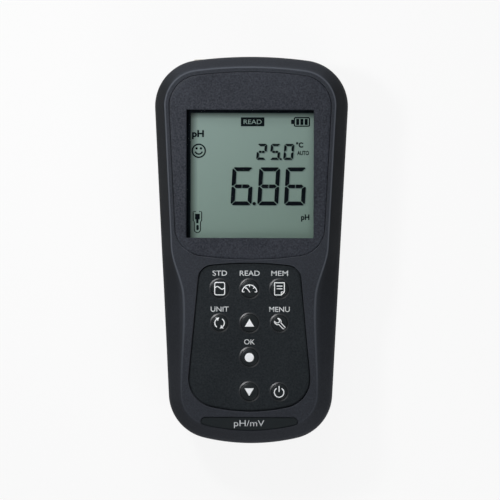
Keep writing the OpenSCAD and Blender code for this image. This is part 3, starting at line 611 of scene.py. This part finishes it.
def label_shape(gap):
    """Outline of the label recess: its foot runs along the end of the case, its top is straight."""
    points, normals = outline(CASE)
    inside = points - (RIDGE_IN + 0.3 + gap) * normals
    inside = inside[inside[:, 1] < 0]
    inside = inside[np.argsort(inside[:, 0])]
    half_w, top, corner = 20.0 - gap, KEYPAD_FOOT - 2.2 - gap, 2.0 - 1.6 * gap
    xs = np.linspace(1 - half_w, half_w - 1, 81)
    foot = np.column_stack([xs, np.interp(xs, *inside.T)])
    side_y = np.interp(half_w, *inside.T)
    turn = rounded([foot[-1], (half_w, side_y), (half_w, side_y + 0.6)], [0.5], 6)[1:]
    right, _ = arc((half_w - corner, top - corner), corner, 0, 90, 8, last=True)
    left, _ = arc((corner - half_w, top - corner), corner, 90, 180, 8, last=True)
    return np.concatenate([foot, turn, right, left, (turn * (-1, 1))[::-1]])


def label_rings(rows):
    """The label's outline at each row (gap, z)."""
    return layers(*((label_shape(gap), z) for gap, z in rows))


def cut_off(shape, end_y):
    """An outline that goes no further along Y than a wall."""
    points, normals = shape
    return np.column_stack([points[:, 0], np.minimum(points[:, 1], end_y)]), normals


def case_front():
    """Front half: sides, sloped shoulder with its thumb grips, a ridge and a flat face, less its recesses."""
    profile = rounded(
        [
            (SIDE_BULGE + 0.35, SEAM_Z, 0),
            (SIDE_BULGE - 0.02, SEAM_Z + 0.35, 0),
            (-0.22, 28.9, 0),
            (RIDGE_IN - 0.8, RIDGE_Z, 0.97),
            (RIDGE_IN + 0.5, RIDGE_Z, 1),
        ],
        [0.3, 4.0, 0.75],
    )
    hollow = outline(CASE, PLAIN)
    low_in, high_in = SIDE_BULGE + WALL, RIDGE_IN * 0.55 + WALL
    sides_top, shoulder_z = 31.0, 30.9
    seat = 0.1
    half_w, window_z = window_high[0] + seat, window_high[2]
    cutters = [
        rings(outline(PANEL), recess_profile(panel_low[2], RIDGE_Z)),
        rings(outline(KEYPAD), recess_profile(KEYPAD_FLOOR_Z, RIDGE_Z, 0.25)),
        label_rings([(0, LABEL_FLOOR_Z), (0, RIDGE_Z - 0.2), (-0.2, RIDGE_Z), (-0.2, RIDGE_Z + 1)]),
        slab(SCREEN_HALF_W, SCREEN_FOOT, SCREEN_TOP, window_z - 1.5, RIDGE_Z),
        slab(half_w, window_low[1] - seat, window_high[1] + seat, FACE_UNDER_Z - seat, window_z),
        rings(cut_off(hollow, BULKHEAD_Y), [(low_in, SEAM_Z - 1), (low_in, sides_top)]),
        rings(hollow, [(low_in, SEAM_Z + 2.0), (low_in, sides_top)]),
        rings(hollow, [(high_in, shoulder_z, 1), (high_in, FACE_UNDER_Z, 1)]),
    ]
    for name, (_, _, radius) in KEYS.items():
        r = radius + KEY_GAP
        cutters.append(turned([(r, FACE_UNDER_Z - 1), (r, RIDGE_Z)], key_centre(name)))
    solid("case_front", skin(rings(outline(CASE), profile)), "case", "front_case", cutters=cutters)

    top, under = 33.8, FACE_UNDER_Z + 0.1
    bosses = [tube(at, [(2.2, SEAM_Z), (2.2, top), (1.25, top), (1.25, SEAM_Z)]) for at in CASE_SCREWS]
    bosses += [tube(at, [(2.2, 31.0), (2.2, under), (1.05, under), (1.05, 31.0)]) for at in BOARD_SCREWS]
    solid("front_bosses", joined(bosses), "case", "front_case")


def socket_bore(x, radius):
    """Rings of a round cutter along Y, through the wall of the socket bay."""
    return laid_along_y(turned([(radius, BULKHEAD_Y - 1), (radius, BAY_Y + 1)], count=64), x, SOCKET_Z)


def case_rear():
    """Rear half: a tub with a long soft floor edge, less the socket bay, the door recess and the feet."""
    profile = rounded(
        [(7.5, rear_low[2]), (1.35, rear_low[2]), (0.62, PART_Z - 0.35), (SIDE_BULGE + 0.35, PART_Z)],
        [4.6, 0.3],
        12,
    )
    floor_z = rear_low[2]
    behind = front_high[1] + 6
    gap, rim = 0.25, 0.2
    door = (door_high[0] + gap, door_low[1] - gap, door_high[1] + gap, 3.0)
    bay, _ = round_rect(BAY_HALF_W, BAY_Y, behind, 1.2)
    bay_wide, _ = round_rect(BAY_HALF_W + 0.4, BAY_Y - 0.4, behind, 1.6)
    cutters = [
        rings(cut_off(outline(CASE, PLAIN), BULKHEAD_Y), [(3.6, 3.0), (3.6, 20.0)]),
        layers((bay_wide, -1.0), (bay_wide, floor_z), (bay, floor_z + 0.4), (bay, 20.0)),
        plate(*door, [(-rim, -1.0), (-rim, floor_z), (0, floor_z + rim), (0, 3.4)]),
        socket_bore(ELECTRODE_X, 4.8),
        socket_bore(PROBE_X, 4.8),
        socket_bore(JACK_X, 3.05),
        slab(4.6, BULKHEAD_Y - 1, BAY_Y + 1, SOCKET_Z - 1.9, SOCKET_Z + 1.9, PORT_X),
    ]
    for at in FEET:
        cutters.append(turned([(4.15, -1), (4.15, floor_z), (4.0, floor_z + 0.15), (4.0, 1.6)], at))
    for at in CASE_SCREWS:
        cutters.append(turned([(2.6, -1), (2.6, floor_z), (2.4, floor_z + 0.2), (2.4, 4.8)], at, 48))
    solid("case_rear", skin(rings(outline(CASE), profile)), "case", "rear_case", cutters=cutters)

    outside, inside = slab(20.8, -71.0, 16.5, 0.9, 20.7), slab(17.3, -62.5, -6.0, 0.0, 18.5)
    cutters = [inside, plate(*door, [(0, 0.0), (0, 3.4)])]
    cutters += [turned([(1.05, 0), (1.05, 8.4)], at, 24) for at in DOOR_SCREWS]
    solid("battery_well", skin(outside), "case", "rear_case", cutters=cutters)

    section = [(3.6, 2.9), (3.6, PART_Z), (1.4, PART_Z), (1.4, 4.8), (2.4, 4.8), (2.4, 2.9)]
    solid("rear_posts", joined([tube(at, section) for at in CASE_SCREWS]), "case", "rear_case")


def seam_seal():
    """Rubber seal in the joint: the case's outline drawn in, as a flat ring, open round the socket bay."""
    outer = cut_off(outline(CASE), BAY_Y - 0.4)
    inner = cut_off(outline(CASE, PLAIN), BAY_Y - 1.8)
    opening = rings(inner, [(2.5, PART_Z - 1), (2.5, SEAM_Z + 1)])
    form = skin(rings(outer, [(1.5, PART_Z), (1.5, SEAM_Z)]))
    solid("seam_seal", form, "seal", "case_gasket", cutters=[opening])


def feet_pads():
    """Rubber feet: turned pads with a round edge and a shallow dish."""
    rows = rounded([(3.9, 1.6), (3.9, 0), (2.4, 0), (2.0, 0.3), (0.05, 0.3)], [0.35, 0.25, 0.2], 6)
    solid("feet_pads", joined(skin(turned(rows[::-1], at)) for at in FEET), "seal", "rubber_feet")


def battery_lid():
    """Battery door: a plate with round corners, a soft edge, finger grooves and two sunk screw places."""
    low_z, soft = door_low[2], 0.25
    rows = [(soft, low_z), (0.0, low_z + soft), (0.0, door_high[2])]
    cutters = []
    for at in DOOR_SCREWS:
        cutters.append(turned([(2.35, -1), (2.35, low_z), (2.2, low_z + 0.15), (2.2, 1.9)], at, 48))
    cutters += [turned([(1.3, 0), (1.3, 4)], at, 32) for at in DOOR_SCREWS]
    across, _ = round_rect(8.0, -0.8, 0.8, 0.79, 10)
    for y in -58.5 + 2.4 * np.arange(6):
        flat, halfway, deep = (across * share + (0, y) for share in (1, (0.99, 0.8), (0.96, 0.25)))
        cutters.append(layers((flat, 0.0), (flat, low_z), (halfway, low_z + 0.22), (deep, low_z + 0.4)))
    form = skin(plate(door_high[0], door_low[1], door_high[1], 3.0, rows))
    solid("battery_lid", form, "case", "battery_door", cutters=cutters)


# Face

def face_panel():
    """Panel round the screen: a plate with a rolled edge, and a chamfered opening with small corner radii."""
    low_z, high_z = panel_low[2], panel_high[2]
    edge = [(0, low_z), (0, high_z - 0.3), (0.09, high_z - 0.09), (0.3, high_z), (1.2, high_z)]
    form = skin(rings(outline(PANEL), [(PANEL_GAP + inset, z) for inset, z in edge]))
    rows = [(0, low_z - 1), (0, high_z - 0.3), (-0.3, high_z), (-0.3, high_z + 1)]
    opening = plate(SCREEN_HALF_W, SCREEN_FOOT, SCREEN_TOP, 0.5, rows)
    solid("face_panel", form, "panel", "display_panel", cutters=[opening])


def keypad_film():
    """Keypad overlay: a grained film with a rolled edge and a chamfered hole for each key."""
    low_z, high_z = overlay_low[2], overlay_high[2]
    edge = [(0, low_z), (0, high_z - 0.3), (0.1, high_z - 0.1), (0.35, high_z), (1, high_z)]
    form = skin(rings(outline(KEYPAD), [(OVERLAY_GAP + inset, z) for inset, z in edge]))
    hole = np.array([(0.08, low_z - 1), (0.08, high_z - 0.05), (0.13, high_z), (0.13, high_z + 1)])
    ring = np.array([(0.78, -0.08), (0.74, 0.01), (0.24, 0.22), (0.16, 0.24), (0.1, 0.2), (0.1, -0.08)])
    holes, collars = [], []
    for name, (_, _, radius) in KEYS.items():
        holes.append(turned(hole + (radius, 0), key_centre(name)))
        collars.append(tube(key_centre(name), ring + (radius, high_z)))
    solid("keypad_film", form, "overlay", "keypad_overlay", cutters=holes)
    solid("key_collars", joined(collars), "collar", slot="overlay")


def foot_label():
    """Plate in the recess at the foot, with a soft edge and the two quantities that the meter reads."""
    low_z, high_z = label_low[2], label_high[2]
    gap = LABEL_GAP
    grid = label_rings([(gap, low_z), (gap, high_z - 0.15), (gap + 0.15, high_z), (gap + 0.4, high_z)])
    solid("foot_label", skin(grid), "label", "label_plate")
    middle = (0, label_high[1] - 2.3)
    lettering("label_words", "pH/mV", middle, 2.5, high_z, "label_ink", "label", width=12.4, bold=-0.006)


# Keys

def key_profile(radius):
    """Radius and height of a key, from its stem round its flange and its edge to the middle of its dome."""
    top_z = overlay_high[2] + 1.0
    flange_top = FACE_UNDER_Z - 0.1
    flange_foot, flange_r = flange_top - 0.8, radius + 0.9

    def dome(r):
        return top_z - KEY_CROWN_R + np.sqrt(KEY_CROWN_R**2 - r**2)

    inner = np.linspace(radius - 0.7, 0.04, 12)[1:]
    lower = [(1.6, STEM_END_Z), (1.6, flange_foot), (flange_r, flange_foot), (flange_r, flange_top)]
    rim = [(radius, flange_top + 0.3), (radius, dome(radius)), (radius - 0.72, dome(radius - 0.7))]
    crown = np.column_stack([inner, dome(inner)])
    return np.concatenate([lower, [(radius, flange_top)], rounded(rim, [0.4], 10), crown])


def icon_calibrate(print_line, print_area):
    """A chart: a frame with round corners and a wave across it."""
    frame_line, _ = round_rect(2.05, -2.55, 2.55, 0.7)
    print_line(polyline([*frame_line, frame_line[0]], 4)[:-1], 0.36, True)
    x = np.linspace(-2.0, 2.0, 25)
    print_line(np.column_stack([x, 0.35 - 0.55 * np.sin(x * 1.6)]), 0.36)


def icon_measure(print_line, print_area):
    """A dial: half a ring with three short ticks and a needle to the upper left."""
    middle = np.array([0, -1.4])
    swing, _ = arc(middle, 3.0, 2, 178, 40, last=True)
    print_line(swing, 0.38)
    for angle in (45, 90, 135):
        _, ray = arc(middle, 1, angle, angle, 1, last=True)
        print_line(middle + ray[:1] * np.array([[2.1], [2.5], [2.9]]), 0.32)
    for end in (-1, 1):
        print_line(middle + np.array([(end * 2.95, 0.1), (end * 2.5, 0.1), (end * 2.1, 0.1)]), 0.35)
    print_line(polyline([(-1.45, 0.55), (0.2, -1.45)]), 0.38)


def icon_data(print_line, print_area):
    """A sheet with a folded lower right corner and two lines of writing."""
    sheet = [(-2.0, -2.5), (0.8, -2.5), (2.0, -1.3), (2.0, 2.5), (-2.0, 2.5), (-2.0, -2.5)]
    print_line(polyline(sheet)[:-1], 0.36, True)
    print_line(polyline([(0.75, -2.4), (0.75, -1.25), (1.9, -1.25)], 4), 0.32)
    for y in (1.15, 0.05):
        print_line(polyline([(-1.15, y), (1.2, y)]), 0.36)


def icon_mode(print_line, print_area):
    """Two arrows that chase each other clockwise round a ring."""
    for turn in (0, 180):
        swing, _ = arc((0, 0), 1.95, 128 + turn, 238 + turn, 24, last=True)
        print_line(swing, 0.42)
        angle = math.radians(112 + turn)
        tip = 1.95 * np.array([math.cos(angle), math.sin(angle)])
        ahead = np.array([math.sin(angle + 0.25), -math.cos(angle + 0.25)])
        side = np.array([-ahead[1], ahead[0]])
        print_area(tip + np.array([0.75 * ahead, -0.55 * ahead + 0.85 * side, -0.55 * ahead - 0.85 * side]))


ARROW = polyline([(0, 1.75), (-1.9, -1.45), (1.9, -1.45), (0, 1.75)])[:-1]


def icon_up(print_line, print_area):
    print_area(ARROW)


def icon_down(print_line, print_area):
    print_area(-ARROW)


def icon_setup(print_line, print_area):
    """A spanner outline: an open jaw at the upper left, a slim handle to the lower right."""
    shape = [
        (-0.75, 2.1), (0.15, 1.75), (0.75, 0.95), (0.65, 0.15), (2.3, -1.6), (2.35, -2.1), (1.8, -2.35),
        (1.4, -2.15), (-0.2, -0.5), (-1.0, -0.6), (-1.8, -0.05), (-2.15, 0.85), (-1.05, 0.05), (-0.1, 0.35),
        (0.05, 1.25), (-0.75, 2.1),
    ]
    print_line(polyline(shape, 3)[:-1], 0.32, True)


def icon_enter(print_line, print_area):
    disc, _ = arc((0, 0), 1.85, 0, 360, 40)
    print_area(disc)


def icon_power(print_line, print_area):
    """A ring that is open at its top, with a bar through the opening."""
    ring, _ = arc((0, -0.2), 1.95, 122, 418, 40, last=True)
    print_line(ring, 0.41)
    print_line(polyline([(0, 0.0), (0, 2.4)]), 0.41)


def face_key(name, icon):
    """One key: a turned button with its icon printed over the dome; both ride on the key's own body."""
    body, centre = f"key_{name}_button", key_centre(name)
    profile = key_profile(KEYS[name][2])
    solid(f"{name}_key", skin(turned(profile, centre)), "keys", f"key_{name}", body=body)
    crown = profile[-21:][::-1]

    def height(x, y):
        return np.interp(np.hypot(x - centre[0], y - centre[1]), crown[:, 0], crown[:, 1]) + 0.015

    marks = []

    def print_line(path, width, looped=False):
        marks.append(band(np.asarray(path) + centre, width, height, looped))

    def print_area(flat):
        marks.append(patch(np.asarray(flat) + centre, height))

    icon(print_line, print_area)
    printed(f"{name}_icon", marks, "ink", "keys", body)


ICONS = {
    "calibrate": icon_calibrate, "measure": icon_measure, "data": icon_data, "mode": icon_mode, "up": icon_up,
    "setup": icon_setup, "enter": icon_enter, "down": icon_down, "power": icon_power,
}

# Words over the keys: own plain words, the distance above the key, and the width of the word
LEGENDS = {
    "calibrate": ("STD", 6.4, 5.9), "measure": ("READ", 6.4, 8.2), "data": ("MEM", 6.4, 6.9),
    "mode": ("UNIT", 5.7, 7.4), "setup": ("MENU", 5.7, 8.4), "enter": ("OK", 6.4, 4.4),
}
LEGEND_CAP = 2.05
CAPITAL = 0.6865


def letters(name, words, bold):
    """A word as a flat solid of unit capital height, centred on X, with its doubles merged."""
    curve = bpy.data.curves.new(name, "FONT")
    curve.body, curve.align_x, curve.extrude, curve.offset = words, "CENTER", 0.02, bold
    text = bpy.data.objects.new(name, curve)
    bpy.context.scene.collection.objects.link(text)
    mesh = bpy.data.meshes.new_from_object(text.evaluated_get(bpy.context.evaluated_depsgraph_get()))
    bpy.data.objects.remove(text)
    form = bmesh.new()
    form.from_mesh(mesh)
    bmesh.ops.remove_doubles(form, verts=form.verts, dist=1e-5)
    bmesh.ops.recalc_face_normals(form, faces=form.faces)
    form.to_mesh(mesh)
    form.free()
    places = np.empty(3 * len(mesh.vertices))
    mesh.vertices.foreach_get("co", places)
    return mesh, places.reshape(-1, 3)


def lettering(name, words, centre, cap, surface_z, look, slot, width=None, bold=0.004, thick=0.04):
    """A printed word round a point, with capitals of height cap, stretched to a width if one is given."""
    mesh, places = letters(name, words, bold)
    scale = cap / CAPITAL
    low_x, high_x = places[:, 0].min(), places[:, 0].max()
    across = width / (high_x - low_x) if width else scale
    x = (places[:, 0] - (low_x + high_x) / 2) * across + centre[0]
    y = places[:, 1] * scale - cap / 2 + centre[1]
    top_z = surface_z + 0.02
    z = np.where(places[:, 2] > 0, top_z, top_z - thick)
    mesh.vertices.foreach_set("co", (np.column_stack([x, y, z]) * MM).ravel())
    piece = bpy.data.objects.new(name, mesh)
    bpy.context.scene.collection.objects.link(piece)
    mesh.materials.clear()
    mesh.materials.append(LOOKS[look])
    settle(piece, HOUSING, slot)


def key_words():
    for name, (words, rise, width) in LEGENDS.items():
        centre = key_centre(name) + (0, rise)
        lettering(f"{name}_word", words, centre, LEGEND_CAP, overlay_high[2], "legend", "overlay", width)


# Display

def turned_over(bar, side=False, end=False):
    """A bar's corners on the other side of the figure, at its other end, or both."""
    corners = np.array(bar, float)
    if side:
        corners[:, :2] = (1, 0) - corners[:, :2]
    if end:
        corners[:, 2:] = (1, 0) - corners[:, 2:]
    return corners


# Corners of a bar, in parts of the figure's width, its bar thickness, then its height and its bar thickness
TOP = [
    (0, 0.5, 1, 0), (0, 0.25, 1, -0.25), (0, 1, 1, -0.95),
    (1, -1, 1, -0.95), (1, -0.25, 1, -0.25), (1, -0.5, 1, 0),
]
UPPER = [
    (0, 0, 1, -0.5), (0, 0, 0.5, 0.1), (0, 0.4, 0.5, 0), (0, 1, 0.5, 0.5), (0, 1, 1, -1), (0, 0.25, 1, -0.25),
]
MIDDLE = [
    (0, 0.5, 0.5, 0), (0, 0.95, 0.5, -0.45), (0.5, 0, 0.5, -0.45), (0.5, 0, 0.5, 0.45), (0, 0.95, 0.5, 0.45),
]
BARS = {
    "top": turned_over(TOP), "foot": turned_over(TOP, end=True),
    "upper_left": turned_over(UPPER), "upper_right": turned_over(UPPER, side=True),
    "lower_left": turned_over(UPPER, end=True), "lower_right": turned_over(UPPER, side=True, end=True),
    "middle_left": turned_over(MIDDLE), "middle_right": turned_over(MIDDLE, side=True),
}
BOTH_MIDDLE = ("middle_left", "middle_right")
FIGURES = {
    "0": ("top", "upper_left", "upper_right", "lower_left", "lower_right", "foot"),
    "2": ("top", "upper_right", *BOTH_MIDDLE, "lower_left", "foot"),
    "5": ("top", "upper_left", *BOTH_MIDDLE, "lower_right", "foot"),
    "6": ("top", "upper_left", *BOTH_MIDDLE, "lower_left", "lower_right", "foot"),
    "8": ("top", "upper_left", "upper_right", *BOTH_MIDDLE, "lower_left", "lower_right", "foot"),
}


def drawn_in(corners, inset):
    """A convex outline whose sides all move in by the same distance."""
    ahead = np.roll(corners, -1, axis=0) - corners
    ahead /= np.linalg.norm(ahead, axis=1, keepdims=True)
    inward = np.stack([-ahead[:, 1], ahead[:, 0]], axis=1)
    before = np.roll(inward, 1, axis=0)
    return corners + inset * (inward + before) / (1 + np.sum(inward * before, axis=1))[:, None]


def bars(figure, left, low, width, height, thick, lean, split):
    """The bars of one figure: each bar's corners, drawn in by half a split, then leaned over."""
    shapes = []
    for bar in FIGURES[figure]:
        wide, x_bar, tall, y_bar = BARS[bar].T
        flat = np.column_stack([wide * width + x_bar * thick, tall * height + y_bar * thick])
        x, y = flat.T
        clockwise = np.sum(x * np.roll(y, -1) - np.roll(x, -1) * y) < 0
        flat = drawn_in(flat[::-1] if clockwise else flat, split / 2)
        flat[:, 0] += flat[:, 1] * math.tan(math.radians(lean))
        shapes.append(flat + (left, low))
    return shapes


# Figures: digits, place of the first one from the screen's middle, pitch, width, height, bar, lean and split
READINGS = [
    ("686", -8.25, -13.0, 11.0, 8.9, 15.9, 1.95, 3, 0.24),
    ("250", 2.25, 5.75, 5.57, 4.25, 6.8, 1.2, 5, 0.16),
]
# Decimal points, then the dots of the smiley's eyes: place and radius
POINTS = [(1.65, -12.2, 0.72), (12.5, 6.2, 0.45)]
EYES = [(-22.15, 10.5, 0.5), (-20.35, 10.5, 0.5)]
# Filled boxes of the word, the battery and the flask: place, width, height, corner radius
BOXES = [
    (0.9, 21.5, 9.7, 3.7, 0.12), (17.3, 21.5, 1.1, 1.8, 0.12),
    (19.45, 21.5, 1.25, 2.5, 0.12), (21.2, 21.5, 1.25, 2.5, 0.12), (22.95, 21.5, 1.25, 2.5, 0.12),
    (-21.72, -17.6, 2.0, 2.3, 0.12), (-21.75, -19.5, 1.0, 1.7, 0.12), (-21.65, -22.1, 1.05, 2.2, 0.5),
]
# Words in the display: text, place, height of its capitals, width, boldness, look and rise above the cell
SCREEN_WORDS = {
    "state_word": ("READ", 0.9, 21.5, 1.8, 7.4, 0.004, "lcd", 0.05),
    "quantity_word": ("pH", -21.6, 16.6, 2.6, 4.9, 0.04, "segment", 0.03),
    "unit_word": ("pH", 22.7, -17.7, 2.1, 3.4, 0.035, "segment", 0.03),
    "degree_word": ("°C", 20.3, 12.0, 1.9, 3.0, 0.045, "segment", 0.03),
    "auto_word": ("AUTO", 21.7, 8.7, 1.6, 4.9, 0.035, "segment", 0.03),
}


def on_screen(flat):
    """Places that are counted from the screen's middle, as places on the case."""
    return np.asarray(flat, float) + (0, SCREEN_MID)


def display_panes():
    """Two panes of glass with soft edges; the upper one is shorter at both ends."""
    soft, thick, step = 0.15, 1.1, 1.1
    panes = []
    for low_z, ends in ((cell_low[2], 0.0), (cell_low[2] + thick, step)):
        rows = []
        for inset, rise in ((soft, 0), (0, soft), (0, thick - soft), (soft, thick)):
            y = inset + ends
            flat, _ = round_rect(cell_high[0] - inset, cell_low[1] + y, cell_high[1] - y, 0.4)
            rows.append((flat, low_z + rise))
        panes.append(skin(layers(*rows)))
    solid("display_glass", joined(panes), "lcd", "lcd_cell")


def display_shadow_sheet():
    """Painted shadow: a dark sheet at the left and top of the screen, where the deep frame shades the cell.
    """
    left, top, past = -SCREEN_HALF_W, SCREEN_TOP - SCREEN_MID, 0.8
    flat = [
        (left - past, top + past), (left - past, -top - past), (left + 1.6, -top - past),
        (left + 1.6, top - 1.2), (-left + past, top - 1.2), (-left + past, top + past),
    ]
    form = skin(prism(on_screen(flat), cell_high[2] - 0.01, cell_high[2] + 0.02))
    printed("display_shadow_sheet", [form], "segment", "lcd")


def display_lines(print_line):
    """The outlines in the display: the battery, the flask, and the smiley's ring and mouth."""
    battery, _ = round_rect(3.1, 19.75, 23.25, 0.5, x=21.2)
    print_line(battery, 0.5, True)
    sides = np.array([(-0.7, -15.5), (-1.75, -15.6), (-1.75, -19.1), (-1.27, -19.9)])
    belly, _ = arc((0, -22.9), 1.27, 180, 360, 16, last=True)
    print_line(np.concatenate([sides, belly, (sides * (-1, 1))[::-1]]) + (-21.72, 0), 0.4)
    print_line(arc((-21.25, 9.5), 2.68, 0, 360, 40)[0], 0.6, True)
    print_line(arc((-21.25, 9.7), 1.55, 200, 340, 16, last=True)[0], 0.62)


def display_prints():
    """The dark bars, signs and words of the display, and the faint shade that the figures throw."""
    top_z, film = cell_high[2] + 0.04, 0.02
    figures = []
    for digits, x, y, pitch, *sizes in READINGS:
        for i, figure in enumerate(digits):
            figures += bars(figure, *on_screen((x + pitch * i, y)), *sizes)
    figures += [on_screen(arc((x, y), r, 0, 360, 20)[0]) for x, y, r in POINTS]
    signs = [round_rect(w / 2, y - h / 2, y + h / 2, corner, 3, x)[0] for x, y, w, h, corner in BOXES]
    signs += [arc((x, y), r, 0, 360, 16)[0] for x, y, r in EYES]
    dark = figures + [on_screen(sign) for sign in signs]
    lines = []

    def print_line(path, width, looped=False):
        lines.append(band(on_screen(path), width, lambda x, y: np.full(np.shape(x), top_z), looped, film))

    display_lines(print_line)
    forms = [skin(prism(flat, top_z - film, top_z)) for flat in dark]
    printed("display_marks", forms + lines, "segment", "lcd")
    shade_z, thrown = cell_high[2] + 0.01, (0.4, -0.3)
    forms = [skin(prism(flat + thrown, shade_z - film, shade_z)) for flat in figures]
    printed("display_shade", forms, "segment_shade", "lcd")
    for name, (words, x, y, cap, width, bold, look, rise) in SCREEN_WORDS.items():
        lettering(name, words, on_screen((x, y)), cap, cell_high[2] + rise, look, "lcd", width, bold, 0.03)


# Sockets

def along_y(section, x):
    """Skin of a turned tube that lies along Y at the height of the sockets, from its section (radius, y)."""
    return skin(laid_along_y(turned(section), x, SOCKET_Z), looped=True)


def electrode_barrel():
    """Electrode socket: flange, barrel with a chamfered mouth, and two lugs for the bayonet ring."""
    wall, end = BAY_Y, BAY_Y + 11.7
    flange = [(5.9, wall), (6.1, wall + 0.2), (6.1, wall + 1.3), (5.9, wall + 1.5)]
    section = [
        (4.7, BULKHEAD_Y - 5), (4.7, wall), *flange, (4.7, wall + 1.5), (4.7, end - 4.2), (4.8, end - 4.1),
        (4.8, end - 0.4), (4.4, end), (4.3, end), (4.1, end - 0.25), (4.1, wall + 3.5), (3.2, wall + 3.5),
        (3.2, BULKHEAD_Y - 5),
    ]
    lug = [(0.7, 4.4), (1.0, 4.6), (1.0, 5.35), (0.75, 5.6)]
    at = (ELECTRODE_X, end - 5.4)
    upper = skin(turned([(r, SOCKET_Z + z) for r, z in lug], at, 32))
    lower = skin(turned([(r, SOCKET_Z - z) for r, z in lug[::-1]], at, 32))
    barrel = along_y(section, ELECTRODE_X)
    solid("electrode_barrel", joined([barrel, upper, lower]), "nickel", "electrode_socket")


def probe_shroud():
    """Probe socket: a turned shroud with a rolled lip."""
    wall, end = BAY_Y, BAY_Y + 6.5
    section = [
        (4.7, BULKHEAD_Y - 3), (4.7, wall), (5.4, wall), (5.6, wall + 0.2), (5.6, end - 0.3), (5.3, end),
        (4.65, end), (4.4, end - 0.3), (4.4, wall + 1), (3.9, wall + 1), (3.9, BULKHEAD_Y - 3),
    ]
    solid("probe_shroud", along_y(section, PROBE_X), "nickel", "probe_socket")


def jack_bush():
    """Temperature jack: a bush whose thread is a row of shallow turned grooves."""
    foot, end = BULKHEAD_Y - 1, BAY_Y + 4.5
    crests = np.arange(BAY_Y + 2.1, end - 0.5, 0.5)
    thread = [pair for y in crests for pair in ((3.0, y), (2.84, y + 0.25))]
    mouth = [(3.0, end - 0.25), (2.75, end), (2.05, end), (1.8, end - 0.25)]
    section = [(3.0, foot), *thread, *mouth, (1.8, foot)]
    solid("jack_bush", along_y(section, JACK_X), "nickel", "temperature_jack")


def main_pieces():
    case_front()
    case_rear()
    seam_seal()
    feet_pads()
    battery_lid()
    face_panel()
    keypad_film()
    foot_label()
    for name, icon in ICONS.items():
        face_key(name, icon)
    key_words()
    display_panes()
    display_shadow_sheet()
    display_prints()
    electrode_barrel()
    probe_shroud()
    jack_bush()


# Studio

def seen_by(tree, *rays):
    """1 where one of these kinds of ray arrives, else 0."""
    path = tree.nodes.new("ShaderNodeLightPath").outputs
    share = path[rays[0]]
    for ray in rays[1:]:
        share = arithmetic(tree, "MAXIMUM", share, path[ray])
    return share


def white_surround():
    """Dim, even light from all around, which looks pure white to the camera and in mirrors and glass."""
    world = bpy.data.worlds.new("surround")
    bpy.context.scene.world = world
    world.use_nodes = True
    tree = world.node_tree
    fill = feed(tree, tree.nodes["Background"], Color=(0.95, 0.97, 1.0, 1.0), Strength=0.17)
    white = place(tree, "ShaderNodeBackground", Color=(1.0, 1.0, 1.0, 1.0), Strength=1.0)
    seen = seen_by(tree, "Is Camera Ray", "Is Transmission Ray", "Is Glossy Ray")
    mixed = place(tree, "ShaderNodeMixShader", Fac=seen, _1=fill.outputs[0], _2=white.outputs[0])
    feed(tree, tree.nodes["World Output"], Surface=mixed.outputs[0])


def pale_floor():
    """Matt floor that the camera sees mostly as white, and that keeps the meter's shadow."""
    material, tree, shader = finish("floor_white", Base_Color=(0.7, 0.7, 0.7, 1.0), Roughness=0.9)
    glow = place(tree, "ShaderNodeEmission", Color=(1.0, 1.0, 1.0, 1.0), Strength=1.0)
    share = product(tree, seen_by(tree, "Is Camera Ray", "Is Glossy Ray"), 0.88)
    mixed = place(tree, "ShaderNodeMixShader", Fac=share, _1=shader.outputs[0], _2=glow.outputs[0])
    feed(tree, tree.nodes["Material Output"], Surface=mixed.outputs[0])
    reach, sink = 3000.0, 0.05
    corners = [(-reach, -reach, -sink), (reach, -reach, -sink), (reach, reach, -sink), (-reach, reach, -sink)]
    floor = new_piece("floor", corners, [(0, 1, 2, 3)], material)


# Lamps: place and width in metres, power, and whether it lights matt surfaces or shows in reflections only
LAMPS = {
    "key_lamp": ((-0.112, 0.095, 0.25), 0.035, 0.38, True),
    "wide_lamp": ((-0.35, 1.0, 0.7), 0.5, 1.0, True),
    "head_lamp": ((0.05, 0.9, 0.5), 0.3, 3.0, True),
    "fill_lamp": ((0.3, -0.45, 0.5), 0.4, 1.6, True),
    "gleam_lamp": ((-0.3, 0.3, 0.42), 0.4, 7.0, False),
}


def lamps():
    """Soft lamps, mostly from the upper left, as in the photograph; all of them point at the meter."""
    for name, (spot, size, power, lights) in LAMPS.items():
        lamp = bpy.data.lights.new(name, "AREA")
        lamp.size, lamp.energy = size, power
        holder = bpy.data.objects.new(name, lamp)
        holder.location = spot
        holder.rotation_euler = Vector(spot).to_track_quat("Z", "Y").to_euler()
        holder.visible_camera = False
        holder.visible_diffuse = lights
        bpy.context.scene.collection.objects.link(holder)


def camera():
    """A long lens above the face, turned a little to the right, as in the photograph."""
    distance, frame_width = 2.2, 0.2067
    yaw, roll = math.radians(2.2), math.radians(0.2)
    data = bpy.data.cameras.new("view")
    data.sensor_width = 36.0
    data.lens = data.sensor_width * distance / frame_width
    data.clip_start, data.clip_end = 0.05, 20.0
    holder = bpy.data.objects.new("view", data)
    aim = Vector((-0.35 * MM, 0.0, 28.0 * MM))
    turn = Matrix.Rotation(yaw, 3, "Y") @ Matrix.Rotation(roll, 3, "Z")
    holder.location = aim + turn @ Vector((0.0, 0.0, distance))
    holder.rotation_euler = turn.to_euler()
    bpy.context.scene.collection.objects.link(holder)
    bpy.context.scene.camera = holder


bpy.context.scene.view_settings.view_transform = "Standard"
camera()
white_surround()
pale_floor()
lamps()
dress_frame()
main_pieces()
